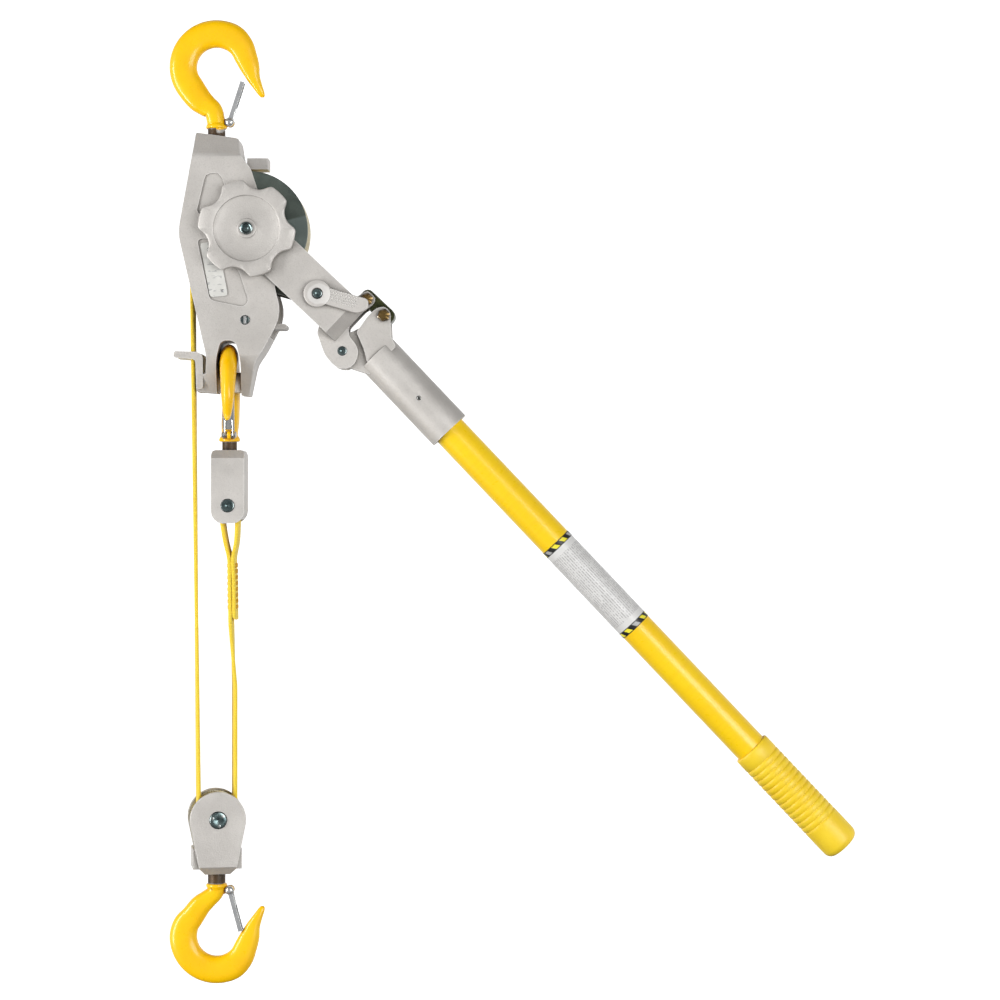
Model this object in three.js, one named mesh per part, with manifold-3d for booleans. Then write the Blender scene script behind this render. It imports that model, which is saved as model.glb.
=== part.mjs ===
// Web-strap ratchet hoist (come along winch): swivel hooks at both ends, a cast frame with a
// strap drum, a ratchet handle, and a double-line strap run through a lower block.
// Millimetres. +X right, +Z up, -Y the operator's side. The origin is where the top hook hangs.
import * as THREE from 'three';
import { mergeVertices } from 'three/addons/utils/BufferGeometryUtils.js';
import Module from 'manifold-3d';

const wasm = await Module();
wasm.setup();

// ---------------------------------------------------------------- driving dimensions
const GAP = 0.3;
const DEG = Math.PI / 180;

const HOOK_BOWL = 18.5;
const HOOK_FACETS = 10;
const HOOK_SEAT_DROP = HOOK_BOWL * Math.cos(10 * DEG);
const HOOK_THICKNESS = 8.5;
const LATCH_LENGTH = 40;

const STRAP_WIDTH = 25.4;
const STRAP_THICKNESS = 3.5;
const DRUM = { x: 32, z: -175 };
const ROLL_RADIUS = 53;
const FLANGE_RADIUS = 56;
const SHAFT_RADIUS = 8;
const TEETH = 24;
const TOOTH_TIP = 52;
const TOOTH_ROOT = 47;
const FIRST_TOOTH = -76;

const PLATE_INNER = 20.7;
const PLATE_OUTER = 25.5;
const HEAD_HALF_DEPTH = 14;
const BAR_BOTTOM = -327.1;
const ARM_INNER = 26;
const ARM_OUTER = 30.5;
const EAR_INNER = 12;
const EAR_OUTER = 17;

const ARM_ANGLE = 43.3;
const HANDLE_TURN = 3.2;
const TUBE_RADIUS = 15.875;
const SOCKET_RADIUS = 20.8;
const SOCKET_LENGTH = 99.5;
const LABEL_START = 245.3;
const LABEL_END = 356.3;
const GRIP_START = 515;
const GRIP_END = 643.3;

const HOLDING_PIN = { x: 29.4, z: -259.8 };
const DRIVE_PIN = { x: 89.7, z: 1.1 };
const HINGE_PIN = { x: 142, z: -22.1 };
const LINK_BOLTS = [{ x: 125.9, z: 29.3 }, { x: 147.7, z: 29.3 }];

const ANCHOR_X = 12.3;
const ANCHOR_BOWL_Z = -326;
const ANCHOR_NECK = 47.5;
const ANCHOR_TURN = 3;
const ANCHOR_PIN_Z = -434.3;

const SHEAVE_Z = -730.7;
const SHEAVE_ROOT = 15;
const SHEAVE_FLANGE = 25;
const BLOCK_TURN = 10.5;
const BLOCK_BOTTOM = -782.6;
const BOTTOM_BOWL_Z = -843;
const BOTTOM_NECK = 50;
const TOP_NECK = 58.5;

// ---------------------------------------------------------------- materials
const FINISHES = {
  yellowEnamel: [0xf6b800, 0.35, 0.0],
  castAluminium: [0xc9c6c2, 0.5, 0.75],
  darkSteel: [0x4c5856, 0.35, 0.9],
  zincSteel: [0xb9bcbd, 0.3, 0.9],
  yellowZinc: [0x9a8850, 0.35, 0.85],
  bronze: [0x9c7a45, 0.4, 0.9],
  webbing: [0xf2c30d, 0.9, 0.0],
  fibreglass: [0xfbd019, 0.3, 0.0],
  vinyl: [0xf9d648, 0.5, 0.0],
  label: [0xeceae6, 0.45, 0.0],
};

function finish(name) {
  const [color, roughness, metalness] = FINISHES[name];
  return new THREE.MeshStandardMaterial({ color, roughness, metalness, flatShading: true });
}

// ---------------------------------------------------------------- solids
function solid(geometry) {
  const bare = geometry.clone();
  bare.deleteAttribute('normal');
  bare.deleteAttribute('uv');
  const merged = mergeVertices(bare, 1e-4);
  const vertProperties = new Float32Array(merged.attributes.position.array);
  const triVerts = new Uint32Array(merged.index.array);
  return new wasm.Manifold(new wasm.Mesh({ numProp: 3, vertProperties, triVerts }));
}

// Slivers shorter than this are merged away from a finished piece.
const SLIVER = 0.02;

function piece(name, body, finishName) {
  const { vertProperties, triVerts } = body.simplify(SLIVER).getMesh();
  const geometry = new THREE.BufferGeometry();
  geometry.setAttribute('position', new THREE.BufferAttribute(vertProperties, 3));
  geometry.setIndex(new THREE.BufferAttribute(triVerts, 1));
  geometry.computeVertexNormals();
  const mesh = new THREE.Mesh(geometry, finish(finishName));
  mesh.name = name;
  return mesh;
}

function joined(bodies) {
  return bodies.reduce((sum, body) => sum.add(body));
}

// Closed outline through corners [x, z, cut]; a corner with a cut is rounded over that length.
function outline(corners) {
  const shape = new THREE.Shape();
  const count = corners.length;
  corners.forEach(([x, z, cut = 0], index) => {
    const here = new THREE.Vector2(x, z);
    const before = new THREE.Vector2(...corners[(index + count - 1) % count].slice(0, 2));
    const after = new THREE.Vector2(...corners[(index + 1) % count].slice(0, 2));
    const reach = Math.min(cut, 0.48 * here.distanceTo(before), 0.48 * here.distanceTo(after));
    const start = before.sub(here).setLength(reach).add(here);
    const end = after.sub(here).setLength(reach).add(here);
    if (index === 0) {
      shape.moveTo(start.x, start.y);
    } else {
      shape.lineTo(start.x, start.y);
    }
    if (cut > 0) {
      shape.quadraticCurveTo(x, z, end.x, end.y);
    }
  });
  shape.closePath();
  return shape;
}

function disc(radius, x = 0, z = 0) {
  const shape = new THREE.Shape();
  shape.absarc(x, z, radius, 0, 2 * Math.PI);
  return shape;
}

function pointsShape(points) {
  return new THREE.Shape(points.map(([x, z]) => new THREE.Vector2(x, z)));
}

// Extrudes a shape upward, its curves drawn as short lines with no point repeated.
function extruded(shape, depth, curveSegments) {
  const points = shape.getPoints(curveSegments);
  const distinct = points.filter((point, index) => {
    const previous = points[(index + points.length - 1) % points.length];
    return point.distanceTo(previous) > 1e-3;
  });
  return new THREE.ExtrudeGeometry(new THREE.Shape(distinct), { depth, bevelEnabled: false });
}

// A flat outline in X and Z given thickness from yFront to yBack.
function plate(shape, yFront, yBack, curveSegments = 2) {
  const geometry = extruded(shape, yBack - yFront, curveSegments);
  geometry.rotateX(Math.PI / 2);
  geometry.translate(0, yBack, 0);
  return solid(geometry);
}

// The same outline front and back, between the given distances from the middle plane.
function platePair(shape, inner, outer, curveSegments = 2) {
  return [plate(shape, -outer, -inner, curveSegments), plate(shape, inner, outer, curveSegments)];
}

// An outline in Y and Z given length along X.
function bar(shape, xLow, xHigh, curveSegments = 2) {
  const geometry = extruded(shape, xHigh - xLow, curveSegments);
  const axes = [[0, 1, 0], [0, 0, 1], [1, 0, 0]].map((axis) => new THREE.Vector3(...axis));
  geometry.applyMatrix4(new THREE.Matrix4().makeBasis(...axes));
  geometry.translate(xLow, 0, 0);
  return solid(geometry);
}

// An outline in X and Y given height along Z.
function slab(shape, zLow, zHigh, curveSegments = 2) {
  const geometry = extruded(shape, zHigh - zLow, curveSegments);
  geometry.translate(0, 0, zLow);
  return solid(geometry);
}

function block(xLow, xHigh, yLow, yHigh, zLow, zHigh) {
  const geometry = new THREE.BoxGeometry(xHigh - xLow, yHigh - yLow, zHigh - zLow);
  geometry.translate((xLow + xHigh) / 2, (yLow + yHigh) / 2, (zLow + zHigh) / 2);
  return solid(geometry);
}

// Round pin along Y.
function pin(radius, yLow, yHigh, x = 0, z = 0, sides = 16) {
  const geometry = new THREE.CylinderGeometry(radius, radius, yHigh - yLow, sides);
  geometry.translate(x, (yLow + yHigh) / 2, z);
  return solid(geometry);
}

// Round post along Z.
function post(radius, zLow, zHigh, x = 0, y = 0, sides = 16) {
  const geometry = new THREE.CylinderGeometry(radius, radius, zHigh - zLow, sides);
  geometry.rotateX(Math.PI / 2);
  geometry.translate(x, y, (zLow + zHigh) / 2);
  return solid(geometry);
}

// Round rod along X.
function rod(radius, xLow, xHigh, sides = 24) {
  const geometry = new THREE.CylinderGeometry(radius, radius, xHigh - xLow, sides);
  geometry.rotateZ(Math.PI / 2);
  geometry.translate((xLow + xHigh) / 2, 0, 0);
  return solid(geometry);
}

// Profile of [radius, y] turned about the Y axis.
function turned(profile, sides = 24) {
  const points = profile.map(([radius, y]) => new THREE.Vector2(radius, y));
  return solid(new THREE.LatheGeometry(points, sides));
}

function placed(meshes, x, y, z, turn = 0) {
  const group = new THREE.Group();
  group.add(...meshes);
  group.position.set(x, y, z);
  group.rotation.y = turn * DEG;
  return group;
}

// ---------------------------------------------------------------- swivel hooks
// Hook frame: bowl centre at the origin, shank up +Z, opening towards +X.
// Sections are [x, z, half width, half thickness] from the tip round to the neck.
function hookSections(neck) {
  const sections = [[44.4, 28.4, 2.4, 2], [43, 25, 4.4, 3.8], [40.2, 19, 5.7, 5]];
  sections.push([35.6, 9.5, 7.4, 5.8], [32, 0, 9.7, 6.6]);
  for (let angle = 20; angle <= 220; angle += 20) {
    const half = Math.min(13.1, 9.8 + 0.055 * angle);
    const thickness = Math.min(HOOK_THICKNESS, 6.6 + 0.032 * angle);
    const radius = HOOK_BOWL + half;
    const x = radius * Math.cos(angle * DEG);
    const z = -radius * Math.sin(angle * DEG);
    sections.push([x, z, half, thickness]);
  }
  sections.push([-16.5, 30.5, 12.2, 8.6], [-9.5, 36.5, 10.6, 8.8], [-2.7, 42.5, 9.3, 9]);
  sections.push([0, neck - 1.5, 9, 9], [0, neck, 9, 9]);
  return sections;
}

function sectionRing(sections, index) {
  const [x, z, half, thickness] = sections[index];
  const last = sections.length - 1;
  const [xBefore, zBefore] = sections[Math.max(index - 1, 0)];
  const [xAfter, zAfter] = sections[Math.min(index + 1, last)];
  const travel = new THREE.Vector2(xAfter - xBefore, zAfter - zBefore).normalize();
  const reach = half / Math.cos(Math.PI / HOOK_FACETS);
  const ring = [];
  for (let corner = 0; corner < HOOK_FACETS; corner += 1) {
    const angle = (corner + 0.5) * 2 * Math.PI / HOOK_FACETS;
    const across = reach * Math.cos(angle);
    ring.push(x - travel.y * across, thickness * Math.sin(angle), z + travel.x * across);
  }
  return ring;
}

function sweptBody(sections) {
  const positions = sections.flatMap((section, index) => sectionRing(sections, index));
  const triangles = [];
  const last = sections.length - 1;
  for (let ring = 0; ring < last; ring += 1) {
    for (let corner = 0; corner < HOOK_FACETS; corner += 1) {
      const next = (corner + 1) % HOOK_FACETS;
      const a = ring * HOOK_FACETS + corner;
      const b = ring * HOOK_FACETS + next;
      triangles.push(a, a + HOOK_FACETS, b, b, a + HOOK_FACETS, b + HOOK_FACETS);
    }
  }
  for (let corner = 1; corner < HOOK_FACETS - 1; corner += 1) {
    const end = last * HOOK_FACETS;
    triangles.push(0, corner, corner + 1, end, end + corner + 1, end + corner);
  }
  const geometry = new THREE.BufferGeometry();
  geometry.setAttribute('position', new THREE.Float32BufferAttribute(positions, 3));
  geometry.setIndex(triangles);
  return solid(geometry);
}

const LATCH_PIVOT_X = 12.6;
const LATCH_RIVET = 2;

function hookBody(neck, shankRadius, shankLength) {
  const pivotZ = neck - 6;
  const lug = plate(disc(4, LATCH_PIVOT_X, pivotZ), -3.6, 3.6, 6);
  const root = block(4, LATCH_PIVOT_X, -3.3, 3.3, pivotZ - 3.1, pivotZ + 3.1);
  const collar = post(10, neck - 3.6, neck + 0.2);
  const shank = post(shankRadius, neck - 2, neck + shankLength);
  const hole = pin(LATCH_RIVET + GAP, -9, 9, LATCH_PIVOT_X, pivotZ, 12);
  return joined([sweptBody(hookSections(neck)), collar, shank, lug, root]).subtract(hole);
}

function rivet(name) {
  const shank = pin(LATCH_RIVET, -6.6, 6.6, 0, 0, 8);
  const heads = [pin(3.2, -7.2, -5.9, 0, 0, 8), pin(3.2, 5.9, 7.2, 0, 0, 8)];
  return piece(name, joined([shank, ...heads]), 'zincSteel');
}

// Folded steel channel: its web faces the bowl, its two flanges carry the ears at the rivet.
function latch(name) {
  const channel = block(-1, LATCH_LENGTH, -5.3, 5.3, -2, 2);
  const ears = platePair(disc(4.2), 4, 5.3, 6);
  const hollow = block(-9, LATCH_LENGTH + 1, -4, 4, -0.8, 9);
  const lugRoom = block(-9, 5, -4, 4, -9, 9);
  const hole = pin(LATCH_RIVET + GAP, -9, 9, 0, 0, 12);
  const blade = joined([channel, ...ears]).subtract(hollow).subtract(lugRoom);
  return piece(name, blade.subtract(hole), 'zincSteel');
}

function hexNut(name, radius, bore, zLow, zHigh, finishName = 'zincSteel') {
  const nut = post(radius, zLow, zHigh, 0, 0, 6).subtract(post(bore, zLow - 1, zHigh + 1));
  return piece(name, nut, finishName);
}

// Hook, rivet, latch and swivel nut in the hook frame; the latch closes onto the tip.
function hookSet(prefix, neck, shankRadius, shankLength, latchAngle) {
  const hook = piece(`${prefix}_hook`, hookBody(neck, shankRadius, shankLength), 'yellowEnamel');
  const blade = placed([latch(`${prefix}_latch`)], LATCH_PIVOT_X, 0, neck - 6, latchAngle);
  const pivot = placed([rivet(`${prefix}_latch_rivet`)], LATCH_PIVOT_X, 0, neck - 6);
  const nutTop = neck + shankLength - 2;
  const nut = hexNut(`${prefix}_hook_nut`, shankRadius + 3.2, shankRadius + GAP, nutTop - 8, nutTop);
  const group = new THREE.Group();
  group.add(hook, blade, pivot, nut);
  return group;
}

function topHook() {
  const group = hookSet('top', TOP_NECK, 8.3, 44, 72);
  group.rotation.x = Math.PI;
  group.position.z = -HOOK_SEAT_DROP;
  return group;
}

function anchorHook() {
  const upright = hookSet('anchor', ANCHOR_NECK, 7, 29, 76.5);
  upright.rotation.x = Math.PI;
  const group = new THREE.Group();
  group.add(upright);
  group.rotation.z = (ANCHOR_TURN - 90) * DEG;
  group.position.set(ANCHOR_X, 0, ANCHOR_BOWL_Z);
  return group;
}

function bottomHook() {
  const group = hookSet('bottom', BOTTOM_NECK, 8.3, 35, 75);
  group.position.z = BOTTOM_BOWL_Z;
  return group;
}

// ---------------------------------------------------------------- frame casting
const FRAME_OUTLINE = [
  [-18, -82, 2], [23, -88, 3], [25, -105, 3], [34.5, -117, 3], [42, -140, 3], [57, -156, 8],
  [62, -178, 10], [57, -205, 8], [57, -230, 8], [62, -246, 6], [60.7, -260.5, 8], [46.4, -288, 6],
  [38, -300, 6], [32.5, -331, 1], [-17.4, -326.4, 1], [-16.5, -312, 1], [-8.2, -310, 1],
  [-7, -294, 4], [-14, -264, 12], [-32.8, -182, 6], [-32.8, -172, 6], [-20, -102, 6],
];
const POCKET_DEPTH = 1.2;
const UPPER_POCKET = [
  [-7.7, -123, 4], [4.7, -121, 5], [11, -133, 6], [6, -150, 5], [-9.6, -154, 1],
  [-13, -161, 2], [-15.8, -157, 2],
];
const LOWER_POCKET = [
  [-15.5, -184, 4], [-2.4, -183, 3], [8, -204, 8], [23, -212, 5], [32.7, -242, 4],
  [28, -247.6, 4], [-3.6, -241, 4],
];
const NAMEPLATE = [
  [-13, -187.5, 3], [-4.5, -186.5, 2], [8.5, -211, 2], [13.5, -237, 3], [-3.4, -238.6, 3],
];
const NAMEPLATE_RIVETS = [{ x: -4.4, z: -193 }, { x: 8.2, z: -232.5 }];

// A body drawn from the side: half its outline as (y, z) going down, mirrored to the other face.
function sideView(half, xLow, xHigh) {
  const mirrored = half.map(([y, z]) => [-y, z]).reverse();
  return bar(pointsShape([...half, ...mirrored].reverse()), xLow, xHigh);
}

// The casting narrows in depth towards the hook neck and the bottom bar.
function frameDepth() {
  const half = [[HEAD_HALF_DEPTH, -70], [HEAD_HALF_DEPTH, -82], [PLATE_OUTER, -106]];
  half.push([PLATE_OUTER, -292], [HEAD_HALF_DEPTH, -331], [HEAD_HALF_DEPTH, -340]);
  return sideView(half, -60, 80);
}

function drumCavity() {
  const round = plate(disc(FLANGE_RADIUS + 2, DRUM.x, DRUM.z), -PLATE_INNER, PLATE_INNER, 16);
  const right = block(DRUM.x, 90, -PLATE_INNER, PLATE_INNER, -276, -117);
  const open = [[-70, -205], [DRUM.x, -205], [DRUM.x, -276], [-70, -276]];
  const left = plate(pointsShape(open.reverse()), -PLATE_INNER, PLATE_INNER);
  const strapWay = block(-26.4, DRUM.x, -PLATE_INNER, PLATE_INNER, -276, DRUM.z);
  return joined([round, right, left, strapWay]);
}

function hookWindow() {
  const arch = [[1.8, -345], [25, -345], [25, -297, 8], [20.5, -280.5, 5], [13, -278.5, 4]];
  arch.push([6, -280.5, 5], [1.8, -297, 8]);
  return plate(outline(arch), -60, 60, 3);
}

function bottomBar() {
  const section = new THREE.Shape();
  section.moveTo(13, BAR_BOTTOM);
  section.lineTo(13, -321);
  section.absarc(0, -321, 13, 0, Math.PI);
  section.lineTo(-13, BAR_BOTTOM);
  section.closePath();
  return bar(section, -16.5, 31.5, 5);
}

function guideHorn(side) {
  const corners = [[-11, -324, 0.5], [-11, -293, 4], [-15, -289.5, 3], [-38, -288.5, 2]];
  corners.push([-39, -294.5, 2], [-18, -296.5, 3], [-17, -325, 0.5]);
  const near = Math.min(side * 14.2, side * 19.5);
  const far = Math.max(side * 14.2, side * 19.5);
  return plate(outline(corners), near, far);
}

function frameCasting() {
  const shell = plate(outline(FRAME_OUTLINE), -40, 40).intersect(frameDepth());
  const guardBar = block(30, 50, -12, 12, -116.6, -106);
  const extras = [guardBar, bottomBar(), guideHorn(-1), guideHorn(1)];
  const nutPocket = post(13, -130, -105);
  const shankHole = post(8.3 + GAP, -110, -70);
  const shaftHole = pin(12, -40, 40, DRUM.x, DRUM.z, 20);
  const pawlHole = pin(4.3 + GAP, -40, 40, HOLDING_PIN.x, HOLDING_PIN.z);
  const upperPocket = plate(outline(UPPER_POCKET), -40, POCKET_DEPTH - PLATE_OUTER);
  const lowerPocket = plate(outline(LOWER_POCKET), -40, POCKET_DEPTH - PLATE_OUTER);
  const hollow = shell.subtract(drumCavity()).subtract(hookWindow());
  const whole = joined([hollow, ...extras]);
  const cuts = joined([nutPocket, shankHole, shaftHole, pawlHole, upperPocket, lowerPocket]);
  return piece('frame_casting', whole.subtract(cuts), 'castAluminium');
}

function shaftBushing(name, side) {
  const profile = [[SHAFT_RADIUS + GAP, 0], [11.7, 0], [11.7, 9.6], [SHAFT_RADIUS + GAP, 9.6]];
  profile.push([SHAFT_RADIUS + GAP, 0]);
  const bushing = piece(name, turned(profile), 'bronze');
  return placed([bushing], DRUM.x, side > 0 ? PLATE_INNER + 0.2 : -PLATE_INNER - 9.8, DRUM.z);
}

function nameplate() {
  const face = POCKET_DEPTH - PLATE_OUTER - GAP;
  const holes = joined(NAMEPLATE_RIVETS.map(({ x, z }) => pin(1.5, -40, 0, x, z, 12)));
  const sheet = plate(outline(NAMEPLATE), face - 0.6, face).subtract(holes);
  const rivets = NAMEPLATE_RIVETS.map(({ x, z }, index) => {
    const head = pin(1.2, face - 1.1, face, x, z, 12);
    return piece(`nameplate_rivet_${index + 1}`, head, 'zincSteel');
  });
  return [piece('nameplate', sheet, 'label'), ...rivets];
}

// ---------------------------------------------------------------- drum
function ratchetWheel(name, yFront, yBack) {
  const points = [];
  for (let tooth = 0; tooth < TEETH; tooth += 1) {
    const angle = (FIRST_TOOTH + tooth * 360 / TEETH) * DEG;
    points.push([TOOTH_TIP * Math.cos(angle), TOOTH_TIP * Math.sin(angle)]);
    points.push([TOOTH_ROOT * Math.cos(angle), TOOTH_ROOT * Math.sin(angle)]);
  }
  const wheel = plate(pointsShape(points), yFront, yBack);
  return piece(name, wheel.subtract(pin(SHAFT_RADIUS + GAP, -40, 40)), 'darkSteel');
}

function flangeDisc(name, yFront, yBack) {
  const wheel = pin(FLANGE_RADIUS, yFront, yBack, 0, 0, 48);
  return piece(name, wheel.subtract(pin(SHAFT_RADIUS + GAP, -40, 40)), 'darkSteel');
}

function handWheel() {
  const lobes = 6;
  const firstLobe = -13;
  const edge = [[-12, 45.3], [0, 45.6], [12, 45.3], [18, 40.7], [24, 38.2], [30, 37.5]];
  edge.push([36, 38.2], [42, 40.7]);
  const points = [];
  for (let lobe = 0; lobe < lobes; lobe += 1) {
    const middle = firstLobe + lobe * 360 / lobes;
    edge.forEach(([offset, radius]) => {
      const angle = (middle + offset) * DEG;
      points.push([radius * Math.cos(angle), radius * Math.sin(angle)]);
    });
  }
  const shape = pointsShape(points);
  const wheel = plate(shape, -38.5, -31).subtract(pin(31, -40, -37, 0, 0, 40));
  const hub = pin(9, -38, -36, 0, 0, 24);
  return piece('hand_wheel', wheel.add(hub).subtract(pin(3.3, -50, 0, 0, 0, 16)), 'castAluminium');
}

function drum() {
  const shaft = piece('drum_shaft', pin(SHAFT_RADIUS, -30.7, 38), 'zincSteel');
  const core = pin(20, -12.9, 12.9).subtract(pin(SHAFT_RADIUS + GAP, -40, 40));
  const half = STRAP_WIDTH / 2;
  const roll = pin(ROLL_RADIUS, -half, half, 0, 0, 48).subtract(pin(20 + GAP, -40, 40));
  const screw = pin(3, -38.4, -31.2, 0, 0, 16).add(pin(6, -41, -38.3, 0, 0, 16));
  const washer = pin(16, 31, 33).subtract(pin(SHAFT_RADIUS + GAP, 0, 50));
  const nut = pin(13, 33.3, 40, 0, 0, 6).subtract(pin(SHAFT_RADIUS + GAP, 0, 50));
  return placed([
    shaft,
    piece('drum_hub', core, 'castAluminium'),
    flangeDisc('flange_front', -20.2, -17.6),
    flangeDisc('flange_back', 17.6, 20.2),
    ratchetWheel('ratchet_front', -17.3, -13.2),
    ratchetWheel('ratchet_back', 13.2, 17.3),
    piece('strap_roll', roll, 'webbing'),
    handWheel(),
    piece('hand_wheel_screw', screw, 'darkSteel'),
    piece('shaft_washer', washer, 'zincSteel'),
    piece('shaft_nut', nut, 'zincSteel'),
  ], DRUM.x, 0, DRUM.z);
}

// ---------------------------------------------------------------- pawls
const PAWL_INNER = 13.6;
const PAWL_OUTER = 16.9;
// The pawls are drawn seated in the teeth, then turned out by these angles to ride clear of them.
const DRIVE_LIFT = 5.5;
const HOLDING_LIFT = 6.5;

function pawlPair(prefix, shape, centre, lift) {
  const bore = pin(4.8, -40, 40, centre.x, centre.z);
  const names = [`${prefix}_pawl_front`, `${prefix}_pawl_back`];
  return platePair(shape, PAWL_INNER, PAWL_OUTER).map((body, index) => {
    const about = body.subtract(bore).translate([-centre.x, 0, -centre.z]);
    const lifted = about.rotate([0, -lift, 0]).translate([centre.x, 0, centre.z]);
    return piece(names[index], lifted, 'darkSteel');
  });
}

// Drive pawls push the ratchet clockwise; in the handle's frame, drum axis at the origin.
function drivePawl() {
  const corners = [[40.3, -25.3], [44.5, -27.9], [70, -17.4, 3], [89.5, -8.6, 6], [98.6, -3, 6]];
  corners.push([98, 6, 5], [90, 10, 5], [81.5, 6, 4], [62, -9.5, 2], [49, -18.6, 1]);
  const lever = [[80.2, -1, 7], [85, -9, 6], [95, -8, 3], [100, -2, 3], [130, 13, 4]];
  lever.push([134.5, 23, 3], [128, 30, 3], [94, 12, 5], [84, 10.5, 6]);
  const pad = plate(outline(lever), -36, -31);
  const thumb = pad.subtract(pin(4.8, -50, 0, DRIVE_PIN.x, DRIVE_PIN.z));
  const shaft = pin(4.5, -37, 33, DRIVE_PIN.x, DRIVE_PIN.z);
  return [
    ...pawlPair('drive', outline(corners), DRIVE_PIN, DRIVE_LIFT),
    piece('drive_pawl_shaft', shaft, 'darkSteel'),
    piece('thumb_lever', thumb, 'castAluminium'),
  ];
}

// Holding pawls stop the drum from paying out; the tab between them lifts both.
function holdingPawl() {
  const corners = [[7.91, -216.06], [5.43, -220.28], [20.5, -256, 4], [21.5, -264, 5]];
  corners.push([29, -268.5, 5], [37, -264, 5], [37.5, -256, 4], [17.5, -226.5, 2]);
  const tab = [[21, -259, 4], [24, -267.5, 4], [33, -268, 3], [66, -268, 1], [68, -266, 1]];
  tab.push([67, -263, 1], [40, -261, 4], [34, -251.5, 4], [25, -252, 4]);
  const body = plate(outline(tab), -PAWL_INNER + GAP, PAWL_INNER - GAP);
  const bore = pin(4.8, -40, 40, HOLDING_PIN.x, HOLDING_PIN.z);
  return [
    ...pawlPair('holding', outline(corners), HOLDING_PIN, HOLDING_LIFT),
    piece('release_tab', body.subtract(bore), 'darkSteel'),
  ];
}

function holdingPin() {
  return piece('holding_pawl_pin', pin(4.3, -26.6, 26.6, HOLDING_PIN.x, HOLDING_PIN.z), 'zincSteel');
}

// ---------------------------------------------------------------- handle
// Handle frame: drum axis at the origin, +X along the yoke.
const EAR_OUTLINE = [
  [110, -20], [113, -26, 2], [133, -36.5, 5], [148, -37.7, 5], [157, -32, 5], [159.5, -22, 5],
  [153, -11, 4], [146, -8.6, 2], [137, -7.2, 2], [131, -2, 2], [131, 20], [133.5, 30, 3],
  [131, 36, 3], [120, 36, 3], [116.5, 23, 1], [110, 23],
];

function yokeShoulder() {
  const half = [[111, ARM_OUTER], [120, ARM_OUTER], [131, EAR_OUTER]];
  const mirrored = half.map(([x, y]) => [x, -y]).reverse();
  return slab(pointsShape([...half, ...mirrored].reverse()), -20, 23);
}

function handleYoke() {
  const armShape = outline([[0, -20], [112, -20], [112, 23], [0, 23]]);
  const arms = platePair(armShape, ARM_INNER, ARM_OUTER);
  const eyes = platePair(disc(24), ARM_INNER, ARM_OUTER, 12);
  const ears = platePair(outline(EAR_OUTLINE), EAR_INNER, EAR_OUTER);
  const web = block(111.5, 119.5, -EAR_OUTER, EAR_OUTER, -20, 23);
  const fork = block(119.5, 200, -EAR_INNER + GAP, EAR_INNER - GAP, -60, 60);
  const shoulder = yokeShoulder().subtract(fork);
  const earHole = pin(4.3 + GAP, -60, 60, HINGE_PIN.x, HINGE_PIN.z);
  const boltHole = pin(3.5, -60, 60, LINK_BOLTS[0].x, LINK_BOLTS[0].z);
  const shaftHole = pin(12, -60, 60, 0, 0, 20);
  const pawlHole = pin(4.8, -60, 60, DRIVE_PIN.x, DRIVE_PIN.z);
  const body = joined([...arms, ...eyes, ...ears, web, shoulder]);
  const cuts = joined([earHole, boltHole, shaftHole, pawlHole]);
  return piece('handle_yoke', body.subtract(cuts), 'castAluminium');
}

function handleSocket() {
  const knuckleShape = [[132, -30, 5], [142, -33.6, 5], [160, -28, 3], [176, -20], [176, 14]];
  knuckleShape.push([142, 14, 3], [136, -2, 3], [131.5, -12, 4]);
  const knuckle = plate(outline(knuckleShape), -EAR_INNER + 2 * GAP, EAR_INNER - 2 * GAP);
  const forkShape = [[139.5, 0, 2], [137, 18, 2], [137.5, 29, 3], [142, 36, 3], [150.5, 36, 3]];
  forkShape.push([154.5, 31, 3], [167, 19], [175, 16], [175, -14], [164, -12]);
  forkShape.push([156, -7, 2], [147, -3, 2]);
  const fork = platePair(outline(forkShape), EAR_INNER, EAR_OUTER);
  const neckShape = [[157, -7], [165, -13], [176, -14], [176, 15], [157, 19]];
  const neck = plate(outline(neckShape), -EAR_OUTER, EAR_OUTER);
  const barrel = rod(SOCKET_RADIUS, 0, SOCKET_LENGTH);
  const bore = rod(TUBE_RADIUS + GAP, 12, SOCKET_LENGTH + 1);
  const along = (body) => body.rotate([0, HANDLE_TURN, 0]).translate([167.3, 0, -1.6]);
  const pinHole = pin(4.3 + GAP, -60, 60, HINGE_PIN.x, HINGE_PIN.z);
  const boltHole = pin(3.5, -60, 60, LINK_BOLTS[1].x, LINK_BOLTS[1].z);
  const screwHole = along(pin(2.4, -30, -10, 58, 0, 12));
  const cast = joined([knuckle, ...fork, neck, along(barrel)]);
  const cuts = joined([along(bore), pinHole, boltHole, screwHole]);
  return piece('handle_socket', cast.subtract(cuts), 'castAluminium');
}

function overloadLink() {
  const corners = [[117.5, 24, 1], [117.5, 35, 3], [121, 38.5, 3], [153, 38.5, 3], [157, 34.5, 3]];
  corners.push([157, 27, 2], [153, 23.6, 2]);
  const holes = LINK_BOLTS.map(({ x, z }) => pin(3.5, -60, 60, x, z));
  const body = plate(outline(corners), -EAR_INNER + 2 * GAP, EAR_INNER - 2 * GAP);
  return piece('overload_link', body.subtract(joined(holes)), 'darkSteel');
}

function linkBolts() {
  return LINK_BOLTS.flatMap(({ x, z }, index) => {
    const shank = pin(3.2, -18, 24, x, z, 16);
    const head = pin(6.2, -21.6, -EAR_OUTER - GAP, x, z, 6);
    const nut = pin(6.2, EAR_OUTER + GAP, 22.5, x, z, 6).subtract(pin(3.5, 0, 40, x, z, 16));
    return [
      piece(`link_bolt_${index + 1}`, shank.add(head), 'yellowZinc'),
      piece(`link_nut_${index + 1}`, nut, 'darkSteel'),
    ];
  });
}

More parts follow.
